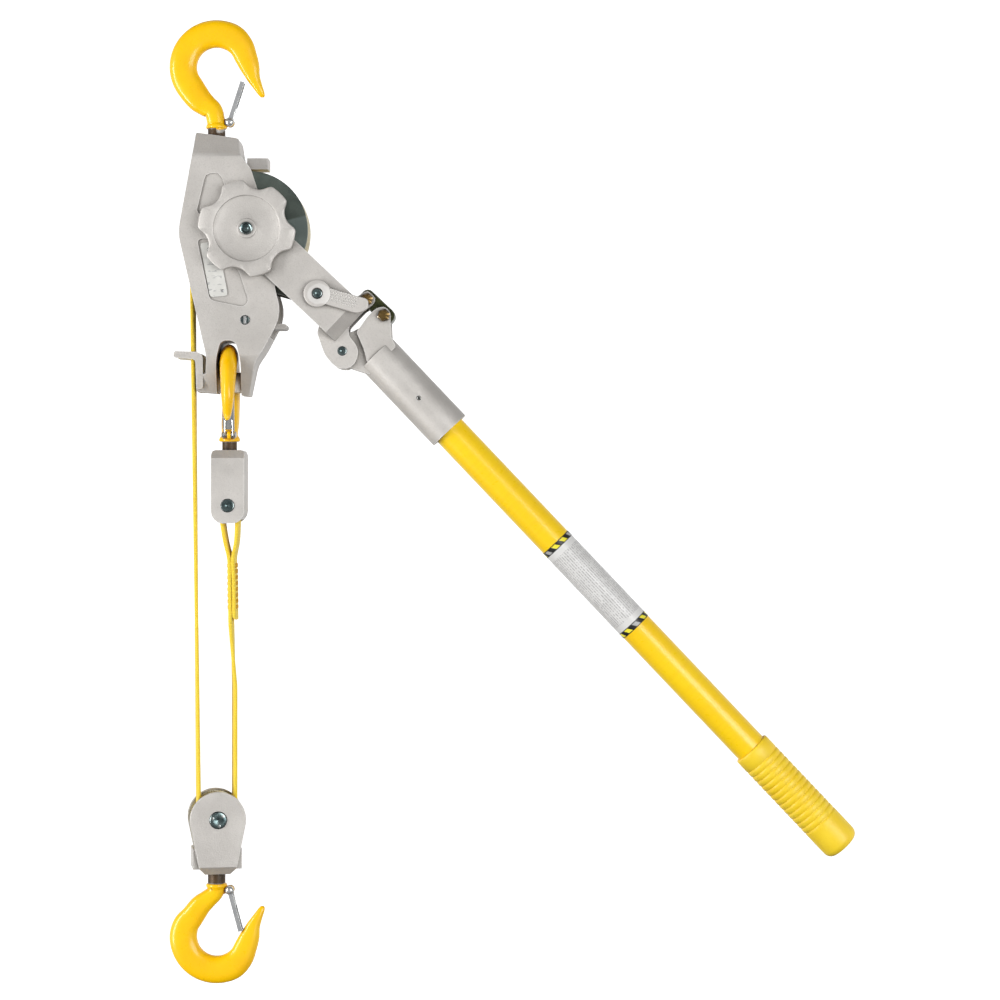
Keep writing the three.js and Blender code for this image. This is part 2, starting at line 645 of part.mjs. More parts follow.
function handleTube() {
  const bore = rod(TUBE_RADIUS - 3.5, 5, GRIP_END);
  const tube = rod(TUBE_RADIUS, 13, GRIP_END - 5).subtract(bore);
  const sleeve = rod(TUBE_RADIUS + GAP + 0.5, LABEL_START, LABEL_END);
  const label = sleeve.subtract(rod(TUBE_RADIUS + GAP, 0, GRIP_END));
  const gripBore = TUBE_RADIUS + GAP;
  const gripInner = [[0, GRIP_END - 4], [gripBore, GRIP_END - 4], [gripBore, GRIP_START]];
  const gripOuter = [[18, GRIP_START], [18.6, GRIP_START + 4], [18.6, GRIP_END - 8]];
  const gripCap = [[15.5, GRIP_END - 2], [11, GRIP_END], [0, GRIP_END]];
  const profile = [...gripInner, ...gripOuter, ...gripCap];
  const grip = turned(profile).rotate([0, 0, -90]);
  const screw = pin(2.1, -SOCKET_RADIUS, -17, 58, 0, 12);
  return placed([
    piece('handle_tube', tube, 'fibreglass'),
    piece('handle_label', label, 'label'),
    piece('handle_grip', grip, 'vinyl'),
    piece('socket_set_screw', screw, 'darkSteel'),
  ], 167.3, 0, -1.6, HANDLE_TURN);
}

function handle() {
  const hingePin = pin(4.3, -EAR_OUTER - 0.8, EAR_OUTER + 0.8, HINGE_PIN.x, HINGE_PIN.z);
  return placed([
    handleYoke(),
    piece('handle_hinge_pin', hingePin, 'zincSteel'),
    handleSocket(),
    overloadLink(),
    ...linkBolts(),
    handleTube(),
    ...drivePawl(),
  ], DRUM.x, 0, DRUM.z, ARM_ANGLE);
}

// ---------------------------------------------------------------- anchor block and strap
// Flat strap bent along a path of [x, z] points, full strap width in Y.
function ribbon(points) {
  const half = STRAP_THICKNESS / 2;
  const last = points.length - 1;
  const sides = [1, -1].map((side) => points.map(([x, z], index) => {
    const [xBefore, zBefore] = points[Math.max(index - 1, 0)];
    const [xAfter, zAfter] = points[Math.min(index + 1, last)];
    const travel = new THREE.Vector2(xAfter - xBefore, zAfter - zBefore).setLength(half * side);
    return [x - travel.y, z + travel.x];
  }));
  const shape = pointsShape([...sides[0], ...sides[1].reverse()]);
  return plate(shape, -STRAP_WIDTH / 2, STRAP_WIDTH / 2);
}

function arcPoints(x, z, radius, from, to, steps) {
  const points = [];
  for (let step = 0; step <= steps; step += 1) {
    const angle = (from + (to - from) * step / steps) * DEG;
    points.push([x + radius * Math.cos(angle), z + radius * Math.sin(angle)]);
  }
  return points;
}

// Straight strap from one end [x, y, z] to the other, turned about Z along the way.
function strapSpan(top, bottom, twist) {
  const steps = 8;
  const geometry = new THREE.BoxGeometry(STRAP_THICKNESS, STRAP_WIDTH, 1, 1, 1, steps);
  const position = geometry.attributes.position;
  for (let index = 0; index < position.count; index += 1) {
    const along = position.getZ(index) + 0.5;
    const corner = new THREE.Vector3(position.getX(index), position.getY(index), 0);
    corner.applyAxisAngle(new THREE.Vector3(0, 0, 1), twist * (1 - along) * DEG);
    const middle = new THREE.Vector3(...bottom).lerp(new THREE.Vector3(...top), along);
    position.setXYZ(index, corner.x + middle.x, corner.y + middle.y, middle.z);
  }
  return solid(geometry);
}

const TAIL_END = -541;
const RETURN_TOP = -545.6;
const STRAP_REACH = SHEAVE_ROOT + GAP + STRAP_THICKNESS / 2;
const BIGHT_TOP = SHEAVE_Z + 2.2;

function anchorBlock() {
  const face = [[-3.5, -381.8, 4], [28, -381.8, 4], [28, -444, 5], [21, -451, 4], [3, -451, 4]];
  face.push([-3.5, -444, 5]);
  const depth = sideView([[12.5, -381], [19, -389.5], [19, -455]], -10, 35);
  const shell = plate(outline(face), -19, 19).intersect(depth);
  const hollow = block(0.2, 24.4, -15, 15, -460, -388);
  const shankHole = post(7 + GAP, -400, -370, ANCHOR_X);
  const pinHole = pin(6.3 + GAP, -40, 40, ANCHOR_X, ANCHOR_PIN_Z);
  const body = shell.subtract(joined([hollow, shankHole, pinHole]));
  return [
    piece('anchor_block', body, 'castAluminium'),
    piece('anchor_pin', pin(6.3, -20, 20, ANCHOR_X, ANCHOR_PIN_Z), 'zincSteel'),
  ];
}

function strapLoop() {
  const radius = 6.3 + GAP + STRAP_THICKNESS / 2;
  const main = [[13.9, RETURN_TOP + GAP], [13.4, -500], [12.9, -484], [8.5, -465]];
  const round = arcPoints(ANCHOR_X, ANCHOR_PIN_Z, radius, 190, -10, 10);
  const tail = [[19.5, -465], [16.9, -484], [17.2, -500], [17.7, TAIL_END]];
  return piece('strap_loop', ribbon([...main, ...round, ...tail]), 'webbing');
}

function strapSpans() {
  const turn = BLOCK_TURN * DEG;
  const lowX = STRAP_REACH * Math.cos(turn);
  const lowY = STRAP_REACH * Math.sin(turn);
  const low = BIGHT_TOP + GAP;
  const fallX = DRUM.x - ROLL_RADIUS - GAP - STRAP_THICKNESS / 2;
  const fall = strapSpan([fallX, 0, -178], [-lowX, -lowY, low], BLOCK_TURN);
  const back = strapSpan([13.9, 0, RETURN_TOP], [lowX, lowY, low], BLOCK_TURN);
  return [piece('strap_fall', fall, 'webbing'), piece('strap_return', back, 'webbing')];
}

// ---------------------------------------------------------------- lower block
function blockHousing() {
  const face = new THREE.Shape();
  face.absarc(0, SHEAVE_Z, 26.5, -8 * DEG, 188 * DEG);
  face.lineTo(-17.5, -776.6);
  face.lineTo(-12, BLOCK_BOTTOM);
  face.lineTo(12, BLOCK_BOTTOM);
  face.lineTo(17.5, -776.6);
  face.closePath();
  const sideGuards = block(-23.5, 22.8, -14.5, 14.5, -777.5, -758);
  const slot = block(-40, 40, -14.9, 14.9, -757.3, -690);
  const nutPocket = post(13.2, -768.4, -750);
  const shankHole = post(8.3 + GAP, -790, -760);
  const pinHole = pin(8 + GAP, -40, 40, 0, SHEAVE_Z);
  const cuts = joined([slot, nutPocket, shankHole, pinHole]);
  const half = [[20, -690], [20, BLOCK_BOTTOM + 7.5], [13, BLOCK_BOTTOM - 0.5]];
  const body = plate(face, -20, 20, 16).intersect(sideView(half, -40, 40)).add(sideGuards).subtract(cuts);
  return piece('block_housing', body, 'castAluminium');
}

function sheave() {
  const bore = 8 + GAP;
  const half = [[bore, 14.5], [SHEAVE_FLANGE - 0.8, 14.5], [SHEAVE_FLANGE, 13.9], [SHEAVE_ROOT, 12.9]];
  const mirrored = half.map(([radius, y]) => [radius, -y]).reverse();
  const profile = [...half, ...mirrored].reverse();
  profile.push(profile[0]);
  return placed([piece('sheave', turned(profile), 'yellowZinc')], 0, 0, SHEAVE_Z);
}

function lowerBlock() {
  const left = [[-STRAP_REACH, BIGHT_TOP]];
  const round = arcPoints(0, SHEAVE_Z, STRAP_REACH, 180, 360, 16);
  const bight = ribbon([...left, ...round, [STRAP_REACH, BIGHT_TOP]]);
  const group = new THREE.Group();
  group.add(
    blockHousing(),
    sheave(),
    piece('sheave_pin', pin(8, -21, 21, 0, SHEAVE_Z), 'zincSteel'),
    piece('strap_bight', bight, 'webbing'),
  );
  group.rotation.z = BLOCK_TURN * DEG;
  return group;
}

// ---------------------------------------------------------------- assembly
const winch = new THREE.Group();
winch.add(
  topHook(),
  frameCasting(),
  shaftBushing('shaft_bushing_front', -1),
  shaftBushing('shaft_bushing_back', 1),
  ...nameplate(),
  holdingPin(),
  drum(),
  handle(),
  ...holdingPawl(),
  anchorHook(),
  ...anchorBlock(),
  strapLoop(),
  ...strapSpans(),
  lowerBlock(),
  bottomHook(),
);

export default winch;
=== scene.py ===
"""Looks of a web-strap ratchet hoist (come along winch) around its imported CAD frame.

+Z up, -Y the operator's side. Lengths are written in millimetres and turned to metres when a
piece is made. Castings, pawls and latches are the CAD nodes with softened edges; hooks, straps,
turned pieces, the handle and its grip are modelled here and stand for their CAD nodes.
"""
import math

import bmesh
import bpy
from mathutils import Matrix, Vector


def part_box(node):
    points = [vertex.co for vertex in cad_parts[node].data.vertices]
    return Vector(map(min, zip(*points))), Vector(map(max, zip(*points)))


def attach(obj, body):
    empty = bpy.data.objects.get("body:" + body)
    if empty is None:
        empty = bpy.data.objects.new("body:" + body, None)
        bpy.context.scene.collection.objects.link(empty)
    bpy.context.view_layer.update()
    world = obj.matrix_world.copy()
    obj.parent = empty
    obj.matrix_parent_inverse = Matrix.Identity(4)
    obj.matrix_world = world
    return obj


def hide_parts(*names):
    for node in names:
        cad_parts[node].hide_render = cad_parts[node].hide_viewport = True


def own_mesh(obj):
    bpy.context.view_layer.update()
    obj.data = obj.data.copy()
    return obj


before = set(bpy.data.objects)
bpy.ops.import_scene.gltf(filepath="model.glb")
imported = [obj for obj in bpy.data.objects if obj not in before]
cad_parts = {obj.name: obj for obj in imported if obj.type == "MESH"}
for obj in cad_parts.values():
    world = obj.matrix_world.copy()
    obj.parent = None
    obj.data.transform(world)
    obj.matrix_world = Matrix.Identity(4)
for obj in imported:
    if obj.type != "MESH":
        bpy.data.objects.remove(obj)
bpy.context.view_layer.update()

MM = 0.001

# ---- driving dimensions, millimetres
DRUM = (32, 0, -175)
ARM_ANGLE = 43.3
HANDLE_TURN = 3.2
SOCKET_START = (167.3, 0, -1.6)
LATCH_PIVOT_X = 12.6
LATCH_PIVOT_DROP = 6
HOOK_BOWL = 18.5
HOOK_SEAT_DROP = HOOK_BOWL * math.cos(math.radians(10))
TOP_NECK, TOP_SHANK, TOP_SHANK_LENGTH = 58.5, 8.3, 44
ANCHOR_NECK, ANCHOR_SHANK, ANCHOR_SHANK_LENGTH = 47.5, 7, 29
BOTTOM_NECK, BOTTOM_SHANK, BOTTOM_SHANK_LENGTH = 50, 8.3, 35
ANCHOR_BOWL = (12.3, 0, -326)
BOTTOM_BOWL = (0, 0, -843)
STRAP_WIDTH = 25.4
STRAP_THICKNESS = 3.5
BLOCK_TURN = 10.5
SHEAVE_Z = -730.7
ANCHOR_PIN = (12.3, -434.3)
TUBE_RADIUS = 15.875
LABEL_START, LABEL_END = 245.3, 356.3
GRIP_START, GRIP_END = 515, 643.3
HINGE_PIN = (142, -22.1)
PAWL_SHAFT = (89.7, 1.1)
LINK_BOLTS = (125.9, 147.7)
LINK_HEIGHT = 29.3
SET_SCREW = 58


# ---- materials
GAMMA = 2.2
DIM = 0.35


def linear(red, green, blue):
    """A colour given as it looks on screen, from 0 to 255, as linear light."""
    return tuple((c / 255) ** GAMMA for c in (red, green, blue)) + (1.0,)


class Finish:
    """A node material whose Principled shader is fed by small procedural patterns."""

    def __init__(self, name, **sockets):
        self.material = bpy.data.materials.new(name)
        self.material.use_nodes = True
        self.tree = self.material.node_tree
        self.shader = self.tree.nodes["Principled BSDF"]
        for socket, value in sockets.items():
            self.shader.inputs[socket.replace("_", " ")].default_value = value

    def node(self, kind, **settings):
        made = self.tree.nodes.new(kind)
        for key, value in settings.items():
            setattr(made, key, value)
        return made

    def put(self, value, socket):
        """Links an output to a socket, or sets a plain value on it."""
        if isinstance(value, bpy.types.NodeSocket):
            self.tree.links.new(value, socket)
        else:
            socket.default_value = value

    def place(self, output="Object", stretch=(1, 1, 1)):
        coordinates = self.node("ShaderNodeTexCoord").outputs[output]
        mapping = self.node("ShaderNodeMapping")
        mapping.inputs["Scale"].default_value = stretch
        self.put(coordinates, mapping.inputs["Vector"])
        return mapping.outputs["Vector"]

    def noise(self, scale, detail=2.0, stretch=(1, 1, 1), output="Object"):
        made = self.node("ShaderNodeTexNoise")
        made.inputs["Scale"].default_value = scale
        made.inputs["Detail"].default_value = detail
        self.put(self.place(output, stretch), made.inputs["Vector"])
        return made.outputs["Fac"]

    def calc(self, operation, first, second=0.0):
        made = self.node("ShaderNodeMath", operation=operation)
        self.put(first, made.inputs[0])
        self.put(second, made.inputs[1])
        return made.outputs[0]

    def times(self, first, second):
        return self.calc("MULTIPLY", first, second)

    def above(self, value, edge):
        return self.calc("GREATER_THAN", value, edge)

    def below(self, value, edge):
        return self.calc("LESS_THAN", value, edge)

    def remap(self, value, low, high, to_low=0.0, to_high=1.0):
        made = self.node("ShaderNodeMapRange")
        for socket, number in zip(made.inputs[1:5], (low, high, to_low, to_high)):
            socket.default_value = number
        self.put(value, made.inputs[0])
        return made.outputs[0]

    def blend(self, share, first, second):
        """Mixes two colours, each an output or a screen colour of three numbers."""
        made = self.node("ShaderNodeMix", data_type="RGBA")
        self.put(share, made.inputs["Factor"])
        for colour, socket in ((first, made.inputs[6]), (second, made.inputs[7])):
            self.put(linear(*colour) if isinstance(colour, tuple) else colour, socket)
        return made.outputs[2]

    def mottled(self, scale, detail, first, second, low=0.3, high=0.7):
        """A colour that wanders between two as noise goes from low to high."""
        return self.blend(self.remap(self.noise(scale, detail), low, high), first, second)

    def crevice_shade(self, reach):
        """Mask for painted shade: near 1 in the open and lower where other surfaces stand within reach, in
        metres.
        """
        made = self.node("ShaderNodeAmbientOcclusion", samples=4)
        made.inputs["Distance"].default_value = reach
        return made.outputs["AO"]

    def edges(self, reach=0.0012):
        """1 on ridges, 0 where the solid is thicker than reach, in metres."""
        made = self.node("ShaderNodeAmbientOcclusion", samples=4, inside=True)
        made.inputs["Distance"].default_value = reach
        return self.remap(made.outputs["AO"], 0.95, 0.55)

    def split(self, output="UV"):
        made = self.node("ShaderNodeSeparateXYZ")
        self.put(self.node("ShaderNodeTexCoord").outputs[output], made.inputs[0])
        return made.outputs

    def bump(self, height, depth, strength=1.0):
        """Adds relief of the given depth in metres over any relief that is there already."""
        made = self.node("ShaderNodeBump")
        made.inputs["Distance"].default_value = depth
        made.inputs["Strength"].default_value = strength
        self.put(height, made.inputs["Height"])
        normal = self.shader.inputs["Normal"]
        if normal.is_linked:
            self.put(normal.links[0].from_socket, made.inputs["Normal"])
        self.put(made.outputs["Normal"], normal)

    def colour(self, value):
        self.put(value, self.shader.inputs["Base Color"])

    def roughness(self, pattern, smooth, rough, low=0.3, high=0.7):
        """Goes from smooth to rough as the pattern goes from low to high."""
        self.put(self.remap(pattern, low, high, smooth, rough), self.shader.inputs["Roughness"])


def cast_aluminium():
    look = Finish("cast_aluminium", Metallic=0.45)
    body = look.mottled(22, 3, (206, 202, 197), (192, 188, 183), 0.35, 0.65)
    speckle = look.remap(look.noise(800, 2), 0.52, 0.7)
    body = look.blend(look.times(speckle, 0.22), body, (160, 155, 149))
    body = look.blend(look.times(look.edges(), 0.6), body, (232, 230, 227))
    shade = look.remap(look.crevice_shade(0.006), 0.2, 0.85)
    look.colour(look.blend(shade, (98, 94, 86), body))
    look.roughness(look.noise(90, 3), 0.46, 0.6)
    look.bump(look.noise(900, 3), 0.0004, 0.5)
    look.bump(look.noise(150, 2), 0.0005, 0.35)
    return look.material


def yellow_enamel():
    look = Finish("yellow_enamel", Coat_Weight=0.4, Coat_Roughness=0.14, Specular_IOR_Level=0.3)
    body = look.mottled(35, 3, (255, 203, 0), (252, 191, 0))
    shade = look.remap(look.crevice_shade(0.008), 0.3, 0.95)
    body = look.blend(shade, (214, 140, 0), body)
    chips = look.times(look.edges(), look.remap(look.noise(420, 3), 0.62, 0.7))
    look.colour(look.blend(chips, body, (150, 118, 60)))
    look.roughness(look.noise(120, 2), 0.24, 0.36)
    look.bump(look.noise(260, 2), 0.0006, 0.18)
    return look.material


def steel(name, light, dark, rough, metal=0.9):
    """Plated or bare steel: a cloudy colour, brighter edges and fine scratches."""
    look = Finish(name, Metallic=metal)
    body = look.mottled(140, 3, light, dark)
    body = look.blend(look.times(look.edges(), 0.5), body, (225, 225, 222))
    shade = look.remap(look.crevice_shade(0.003), 0.2, 0.9)
    dim = tuple(c * DIM ** (1 / GAMMA) for c in dark)
    look.colour(look.blend(shade, dim, body))
    scratches = look.noise(900, 3)
    look.roughness(scratches, *rough)
    look.bump(scratches, 0.00008, 0.4)
    return look.material


def turned_steel():
    """Dark plated disc with the rings left by facing it on a lathe, and a lighter sector of painted
    reflection to the right of the middle, mostly below it.
    """
    look = Finish("turned_steel", Metallic=0.85, Anisotropic=0.65)
    point = look.node("ShaderNodeVectorMath", operation="SUBTRACT")
    look.put(look.place(), point.inputs[0])
    point.inputs[1].default_value = [c * MM for c in DRUM]
    flat = look.node("ShaderNodeVectorMath", operation="MULTIPLY")
    look.put(point.outputs[0], flat.inputs[0])
    flat.inputs[1].default_value = (1, 0, 1)
    radius = look.node("ShaderNodeVectorMath", operation="LENGTH")
    look.put(flat.outputs[0], radius.inputs[0])
    rings = look.calc("SINE", look.times(radius.outputs["Value"], 9000.0))
    rings = look.times(rings, look.noise(60, 3))
    body = look.mottled(70, 4, (88, 100, 95), (66, 78, 74))
    sides = look.node("ShaderNodeSeparateXYZ")
    look.put(point.outputs[0], sides.inputs[0])
    angle = look.calc("ARCTAN2", sides.outputs["Z"], sides.outputs["X"])
    # Painted reflection: a lighter sector right of the drum centre stands for the lathe face's anisotropic
    # highlight.
    painted_reflection = look.times(look.remap(angle, -0.95, -0.85), look.remap(angle, 0.27, 0.23))
    body = look.blend(look.times(painted_reflection, 0.8), body, (128, 142, 140))
    body = look.blend(look.remap(rings, -0.4, 0.6, 0.0, 0.35), body, (150, 150, 140))
    look.colour(body)
    look.roughness(rings, 0.3, 0.42, -0.5, 0.5)
    look.bump(rings, 0.00006, 0.5)
    tangent = look.node("ShaderNodeTangent", direction_type="RADIAL", axis="Y")
    look.put(tangent.outputs[0], look.shader.inputs["Tangent"])
    return look.material


def fibreglass():
    look = Finish("fibreglass", Coat_Weight=0.35, Coat_Roughness=0.2)
    along = (0.05, 1, 1)
    streak = look.noise(420, 3, along, "UV")
    body = look.mottled(14, 2, (255, 214, 6), (254, 206, 2))
    look.colour(look.blend(look.remap(streak, 0.45, 0.8, 0.0, 0.3), body, (240, 186, 4)))
    look.roughness(look.noise(200, 3), 0.26, 0.38)
    look.bump(look.noise(500, 2), 0.00015, 0.25)
    return look.material


def vinyl():
    look = Finish("vinyl_grip", Coat_Weight=0.15, Coat_Roughness=0.35)
    body = look.mottled(50, 3, (252, 217, 52), (249, 208, 34))
    shade = look.remap(look.crevice_shade(0.003), 0.3, 0.95)
    look.colour(look.blend(shade, (222, 168, 6), body))
    look.roughness(look.noise(700, 3), 0.38, 0.55)
    look.bump(look.noise(1400, 3), 0.00012, 0.5)
    return look.material


def webbing():
    """Plain weave from the piece's own flat coordinates, in millimetres across and along, with painted sheen
    on the yarns that lie on top and painted shade in the hollows between yarns.
    """
    look = Finish("webbing", Sheen_Weight=0.25, Sheen_Roughness=0.5)
    across, along, _ = look.split()
    warp = look.calc("SINE", look.times(across, math.pi / 1.15))
    weft = look.calc("SINE", look.times(along, math.pi / 1.5))
    cells = look.times(warp, weft)
    height = look.calc("ABSOLUTE", cells)
    body = look.mottled(60, 3, (255, 228, 66), (254, 217, 42))
    # Painted sheen: the warp yarns that lie over the weft are made lighter.
    body = look.blend(look.remap(cells, -0.2, 0.2, 0.0, 0.35), body, (255, 232, 100))
    # Painted shade: darker in the low hollows between the yarns.
    body = look.blend(look.remap(height, 0.0, 0.3), (242, 194, 24), body)
    fuzz = look.noise(3000, 3)
    look.colour(look.blend(look.remap(fuzz, 0.55, 0.75, 0.0, 0.3), body, (255, 240, 150)))
    look.roughness(fuzz, 0.7, 0.9)
    look.bump(height, 0.0004, 0.8)
    look.bump(fuzz, 0.0001, 0.4)
    return look.material


def thread():
    look = Finish("stitch_thread", Sheen_Weight=0.2)
    twist = look.remap(look.noise(2500, 2), 0.3, 0.7)
    look.colour(look.blend(twist, (226, 176, 34), (170, 124, 22)))
    look.roughness(twist, 0.6, 0.8, 0, 1)
    look.bump(twist, 0.0002, 0.6)
    return look.material


def printed_label():
    """Pale film with rows of short grey dashes along the tube, and a striped band at each end."""
    look = Finish("printed_label", Coat_Weight=0.3, Coat_Roughness=0.2)
    around, along, _ = look.split()
    row = look.calc("FRACT", look.calc("DIVIDE", around, 2.3))
    inked = look.times(look.above(row, 0.3), look.below(row, 0.75))
    line = look.calc("FLOOR", look.calc("DIVIDE", around, 2.3))
    spot = look.node("ShaderNodeCombineXYZ")
    look.put(look.times(along, 0.9), spot.inputs[0])
    look.put(look.times(line, 7.3), spot.inputs[1])
    words = look.node("ShaderNodeTexNoise")
    words.inputs["Scale"].default_value = 1.0
    words.inputs["Detail"].default_value = 1.0
    look.put(spot.outputs[0], words.inputs["Vector"])
    inked = look.times(inked, look.remap(words.outputs["Fac"], 0.42, 0.5))
    length = LABEL_END - LABEL_START
    margin = look.calc("ABSOLUTE", look.calc("SUBTRACT", along, length / 2))
    inked = look.times(inked, look.below(margin, length / 2 - 12))
    paper = look.mottled(80, 3, (226, 225, 223), (216, 215, 213))
    paper = look.blend(look.times(inked, 0.6), paper, (120, 118, 118))
    slant = look.calc("ADD", look.calc("DIVIDE", around, 10.5), look.calc("DIVIDE", along, 14.0))
    stripe = look.calc("FRACT", slant)
    patch = look.blend(look.above(look.calc("FRACT", look.calc("DIVIDE", slant, 3.0)), 0.66),
                       (245, 232, 60), (170, 170, 168))
    inside = look.below(margin, length / 2 - 0.9)
    patch_share = look.times(look.above(stripe, 0.52), inside)
    patch_share = look.times(patch_share, look.above(margin, length / 2 - 5.2))
    band = look.blend(patch_share, (28, 28, 26), patch)
    look.colour(look.blend(look.above(margin, length / 2 - 6), paper, band))
    look.roughness(look.noise(300, 2), 0.32, 0.45)
    look.bump(look.noise(250, 2), 0.0001, 0.3)
    return look.material


def plate_print():
    """White enamelled plate with two rows of plain grey bars."""
    look = Finish("plate_print", Coat_Weight=0.3, Coat_Roughness=0.2)
    x, _, z = look.split("Object")
    row = look.calc("FRACT", look.times(z, 1 / 0.0062))
    bar = look.times(look.above(row, 0.4), look.below(row, 0.8))
    broken = look.remap(look.noise(230, 1, (1, 1, 2)), 0.5, 0.54)
    paper = look.mottled(90, 2, (218, 217, 212), (206, 205, 200))
    inside = look.times(look.above(x, -0.006), look.below(x, 0.0075))
    share = look.times(look.times(bar, broken), inside)
    look.colour(look.blend(look.times(share, 0.35), paper, (96, 100, 108)))
    look.roughness(look.noise(400, 2), 0.3, 0.45)
    look.bump(look.noise(900, 2), 0.00008, 0.3)
    return look.material


STEELS = {
    "dark_steel": ((84, 88, 82), (54, 57, 52), (0.3, 0.46)),
    "zinc_steel": ((228, 229, 229), (200, 203, 206), (0.16, 0.28), 0.85),
    "blued_steel": ((126, 142, 142), (72, 88, 90), (0.16, 0.3), 1.0),
    "olive_steel": ((88, 92, 58), (42, 46, 30), (0.2, 0.4), 0.8),
    "bolt_zinc": ((142, 116, 72), (92, 74, 44), (0.24, 0.38)),
    "yellow_zinc": ((178, 162, 92), (136, 118, 56), (0.22, 0.36)),
    "bronze": ((186, 148, 92), (150, 112, 62), (0.3, 0.45)),
    "shank_steel": ((88, 66, 40), (50, 40, 28), (0.4, 0.6), 0.25),
    # Pale look for the back flange, a dark steel part: a painted highlight standing for its rim lit from the
    # right.
    "flange_painted_highlight": ((236, 232, 216), (212, 208, 190), (0.4, 0.5), 0.3),
}
LOOKS = {name: steel(name, *numbers) for name, numbers in STEELS.items()}
LOOKS.update({
    "cast_aluminium": cast_aluminium(),
    "yellow_enamel": yellow_enamel(),
    "turned_steel": turned_steel(),
    "fibreglass": fibreglass(),
    "vinyl_grip": vinyl(),
    "webbing": webbing(),
    "thread": thread(),
    "label": printed_label(),
    "nameplate": plate_print(),
})


# ---- mesh building
class Form:
    """Points in millimetres and the faces of one piece, placed in the row frame by a matrix."""

    def __init__(self, place=None):
        self.place = place or Matrix.Identity(4)
        self.points = []
        self.faces = []
        self.finishes = []
        self.flat = []

    def skin(self, rings, finish=0, capped=True, looped=False, flat=None):
        """Joins rings of points; capped closes both ends, looped joins the last ring to the first.
        flat holds the flat coordinates of each ring's points, with one more for the seam."""
        start = len(self.points)
        size = len(rings[0])
        for ring in rings:
            self.points.extend((self.place @ Vector(point)) * MM for point in ring)
        count = len(rings) if looped else len(rings) - 1
        for step in range(count):
            for corner in range(size):
                after = (corner + 1) % size
                here = start + step * size
                there = start + (step + 1) % len(rings) * size
                self.faces.append((here + corner, here + after, there + after, there + corner))
                self.finishes.append(finish)
                if flat:
                    one, two = flat[step], flat[step + 1]
                    self.flat.append((one[corner], one[corner + 1], two[corner + 1], two[corner]))
        if capped and not looped:
            end = start + (len(rings) - 1) * size
            self.faces.append(tuple(range(start, start + size)))
            self.faces.append(tuple(range(end, end + size)))
            self.finishes.extend((finish, finish))
            if flat:
                self.flat.extend((flat[0][:size], flat[-1][:size]))
        return self

    def piece(self, name, body, slot, looks=None, stands_for=(), crease=35):
        mesh = bpy.data.meshes.new(name)
        mesh.from_pydata(self.points, [], self.faces)
        for look in looks or [slot]:
            mesh.materials.append(LOOKS[look])
        mesh.polygons.foreach_set("material_index", self.finishes)
        if self.flat:
            layer = mesh.uv_layers.new(name="flat")
            spots = [spot for face in self.flat for spot in face]
            layer.data.foreach_set("uv", [number for spot in spots for number in spot])
        soft = bmesh.new()
        soft.from_mesh(mesh)
        bmesh.ops.recalc_face_normals(soft, faces=soft.faces)
        soft.to_mesh(mesh)
        soft.free()
        mesh.shade_smooth()
        mesh.set_sharp_from_angle(angle=math.radians(crease))
        made = added(name, mesh)
        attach(made, body)
        if stands_for:
            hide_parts(*stands_for)
        return made


def added(name, data):
    """A new object of the scene that holds the given mesh, light or camera."""
    made = bpy.data.objects.new(name, data)
    bpy.context.scene.collection.objects.link(made)
    return made


def spot(x, y, z):
    return Matrix.Translation((x, y, z))


def turn(degrees, axis):
    return Matrix.Rotation(math.radians(degrees), 4, axis)


ALONG_Y = turn(-90, "X")
ALONG_X = turn(90, "Y")
DRUM_AXIS = spot(*DRUM) @ ALONG_Y
HANDLE = spot(*DRUM) @ turn(ARM_ANGLE, "Y")
TUBE = HANDLE @ spot(*SOCKET_START) @ turn(HANDLE_TURN, "Y")
TOP_HOOK = spot(0, 0, -HOOK_SEAT_DROP) @ turn(180, "X")
ANCHOR_HOOK = spot(*ANCHOR_BOWL) @ turn(-87, "Z") @ turn(180, "X")
BOTTOM_HOOK = spot(*BOTTOM_BOWL)
LOWER_BLOCK = turn(BLOCK_TURN, "Z")
SHEAVE_AXIS = LOWER_BLOCK @ spot(0, 0, SHEAVE_Z) @ ALONG_Y


def polar(radius, angle):
    """The two coordinates of a point at a radius and an angle in degrees."""
    return radius * math.cos(math.radians(angle)), radius * math.sin(math.radians(angle))


def arc(x, z, radius, first, last, steps):
    """Points round (x, z) from the first to the last angle, in degrees."""
    spots = [polar(radius, first + (last - first) * step / steps) for step in range(steps + 1)]
    return [(x + along, z + up) for along, up in spots]


def circle(radius, height, sides=48):
    """A ring about the local Z axis; radius may be a function of the angle in degrees."""
    ring = []
    for step in range(sides):
        angle = 360 * step / sides
        reach = radius(angle) if callable(radius) else radius
        ring.append((*polar(reach, angle), height))
    return ring


def lathe(form, profile, sides=48, finish=0, looped=False):
    """Turns a profile of (radius, height) about the local Z axis."""
    return form.skin([circle(radius, height, sides) for radius, height in profile], finish, looped=looped)


def spline(points, steps):
    """Catmull-Rom points through the given tuples, each stretch cut into steps."""
    result = []
    last = len(points) - 1
    for index in range(last):
        near = [points[max(0, min(last, index + shift))] for shift in (-1, 0, 1, 2)]
        for step in range(steps):
            t = step / steps
            result.append(tuple(
                0.5 * (2 * b + (c - a) * t + (2 * a - 5 * b + 4 * c - d) * t ** 2
                       + (3 * b - a - 3 * c + d) * t ** 3)
                for a, b, c, d in zip(*near)
            ))
    result.append(tuple(points[-1]))
    return result


def tube(form, path, radius, sides):
    """A round wire along a path of points, its ends closed."""
    points = [Vector(point) for point in path]
    side = (points[1] - points[0]).orthogonal().normalized()
    rings = []
    for index, point in enumerate(points):
        ahead = points[min(index + 1, len(points) - 1)] - points[max(index - 1, 0)]
        ahead.normalize()
        side = (side - ahead * side.dot(ahead)).normalized()
        other = ahead.cross(side)
        ring = []
        for step in range(sides):
            angle = 2 * math.pi * step / sides
            ring.append(point + radius * (side * math.cos(angle) + other * math.sin(angle)))
        rings.append(ring)
    return form.skin(rings)


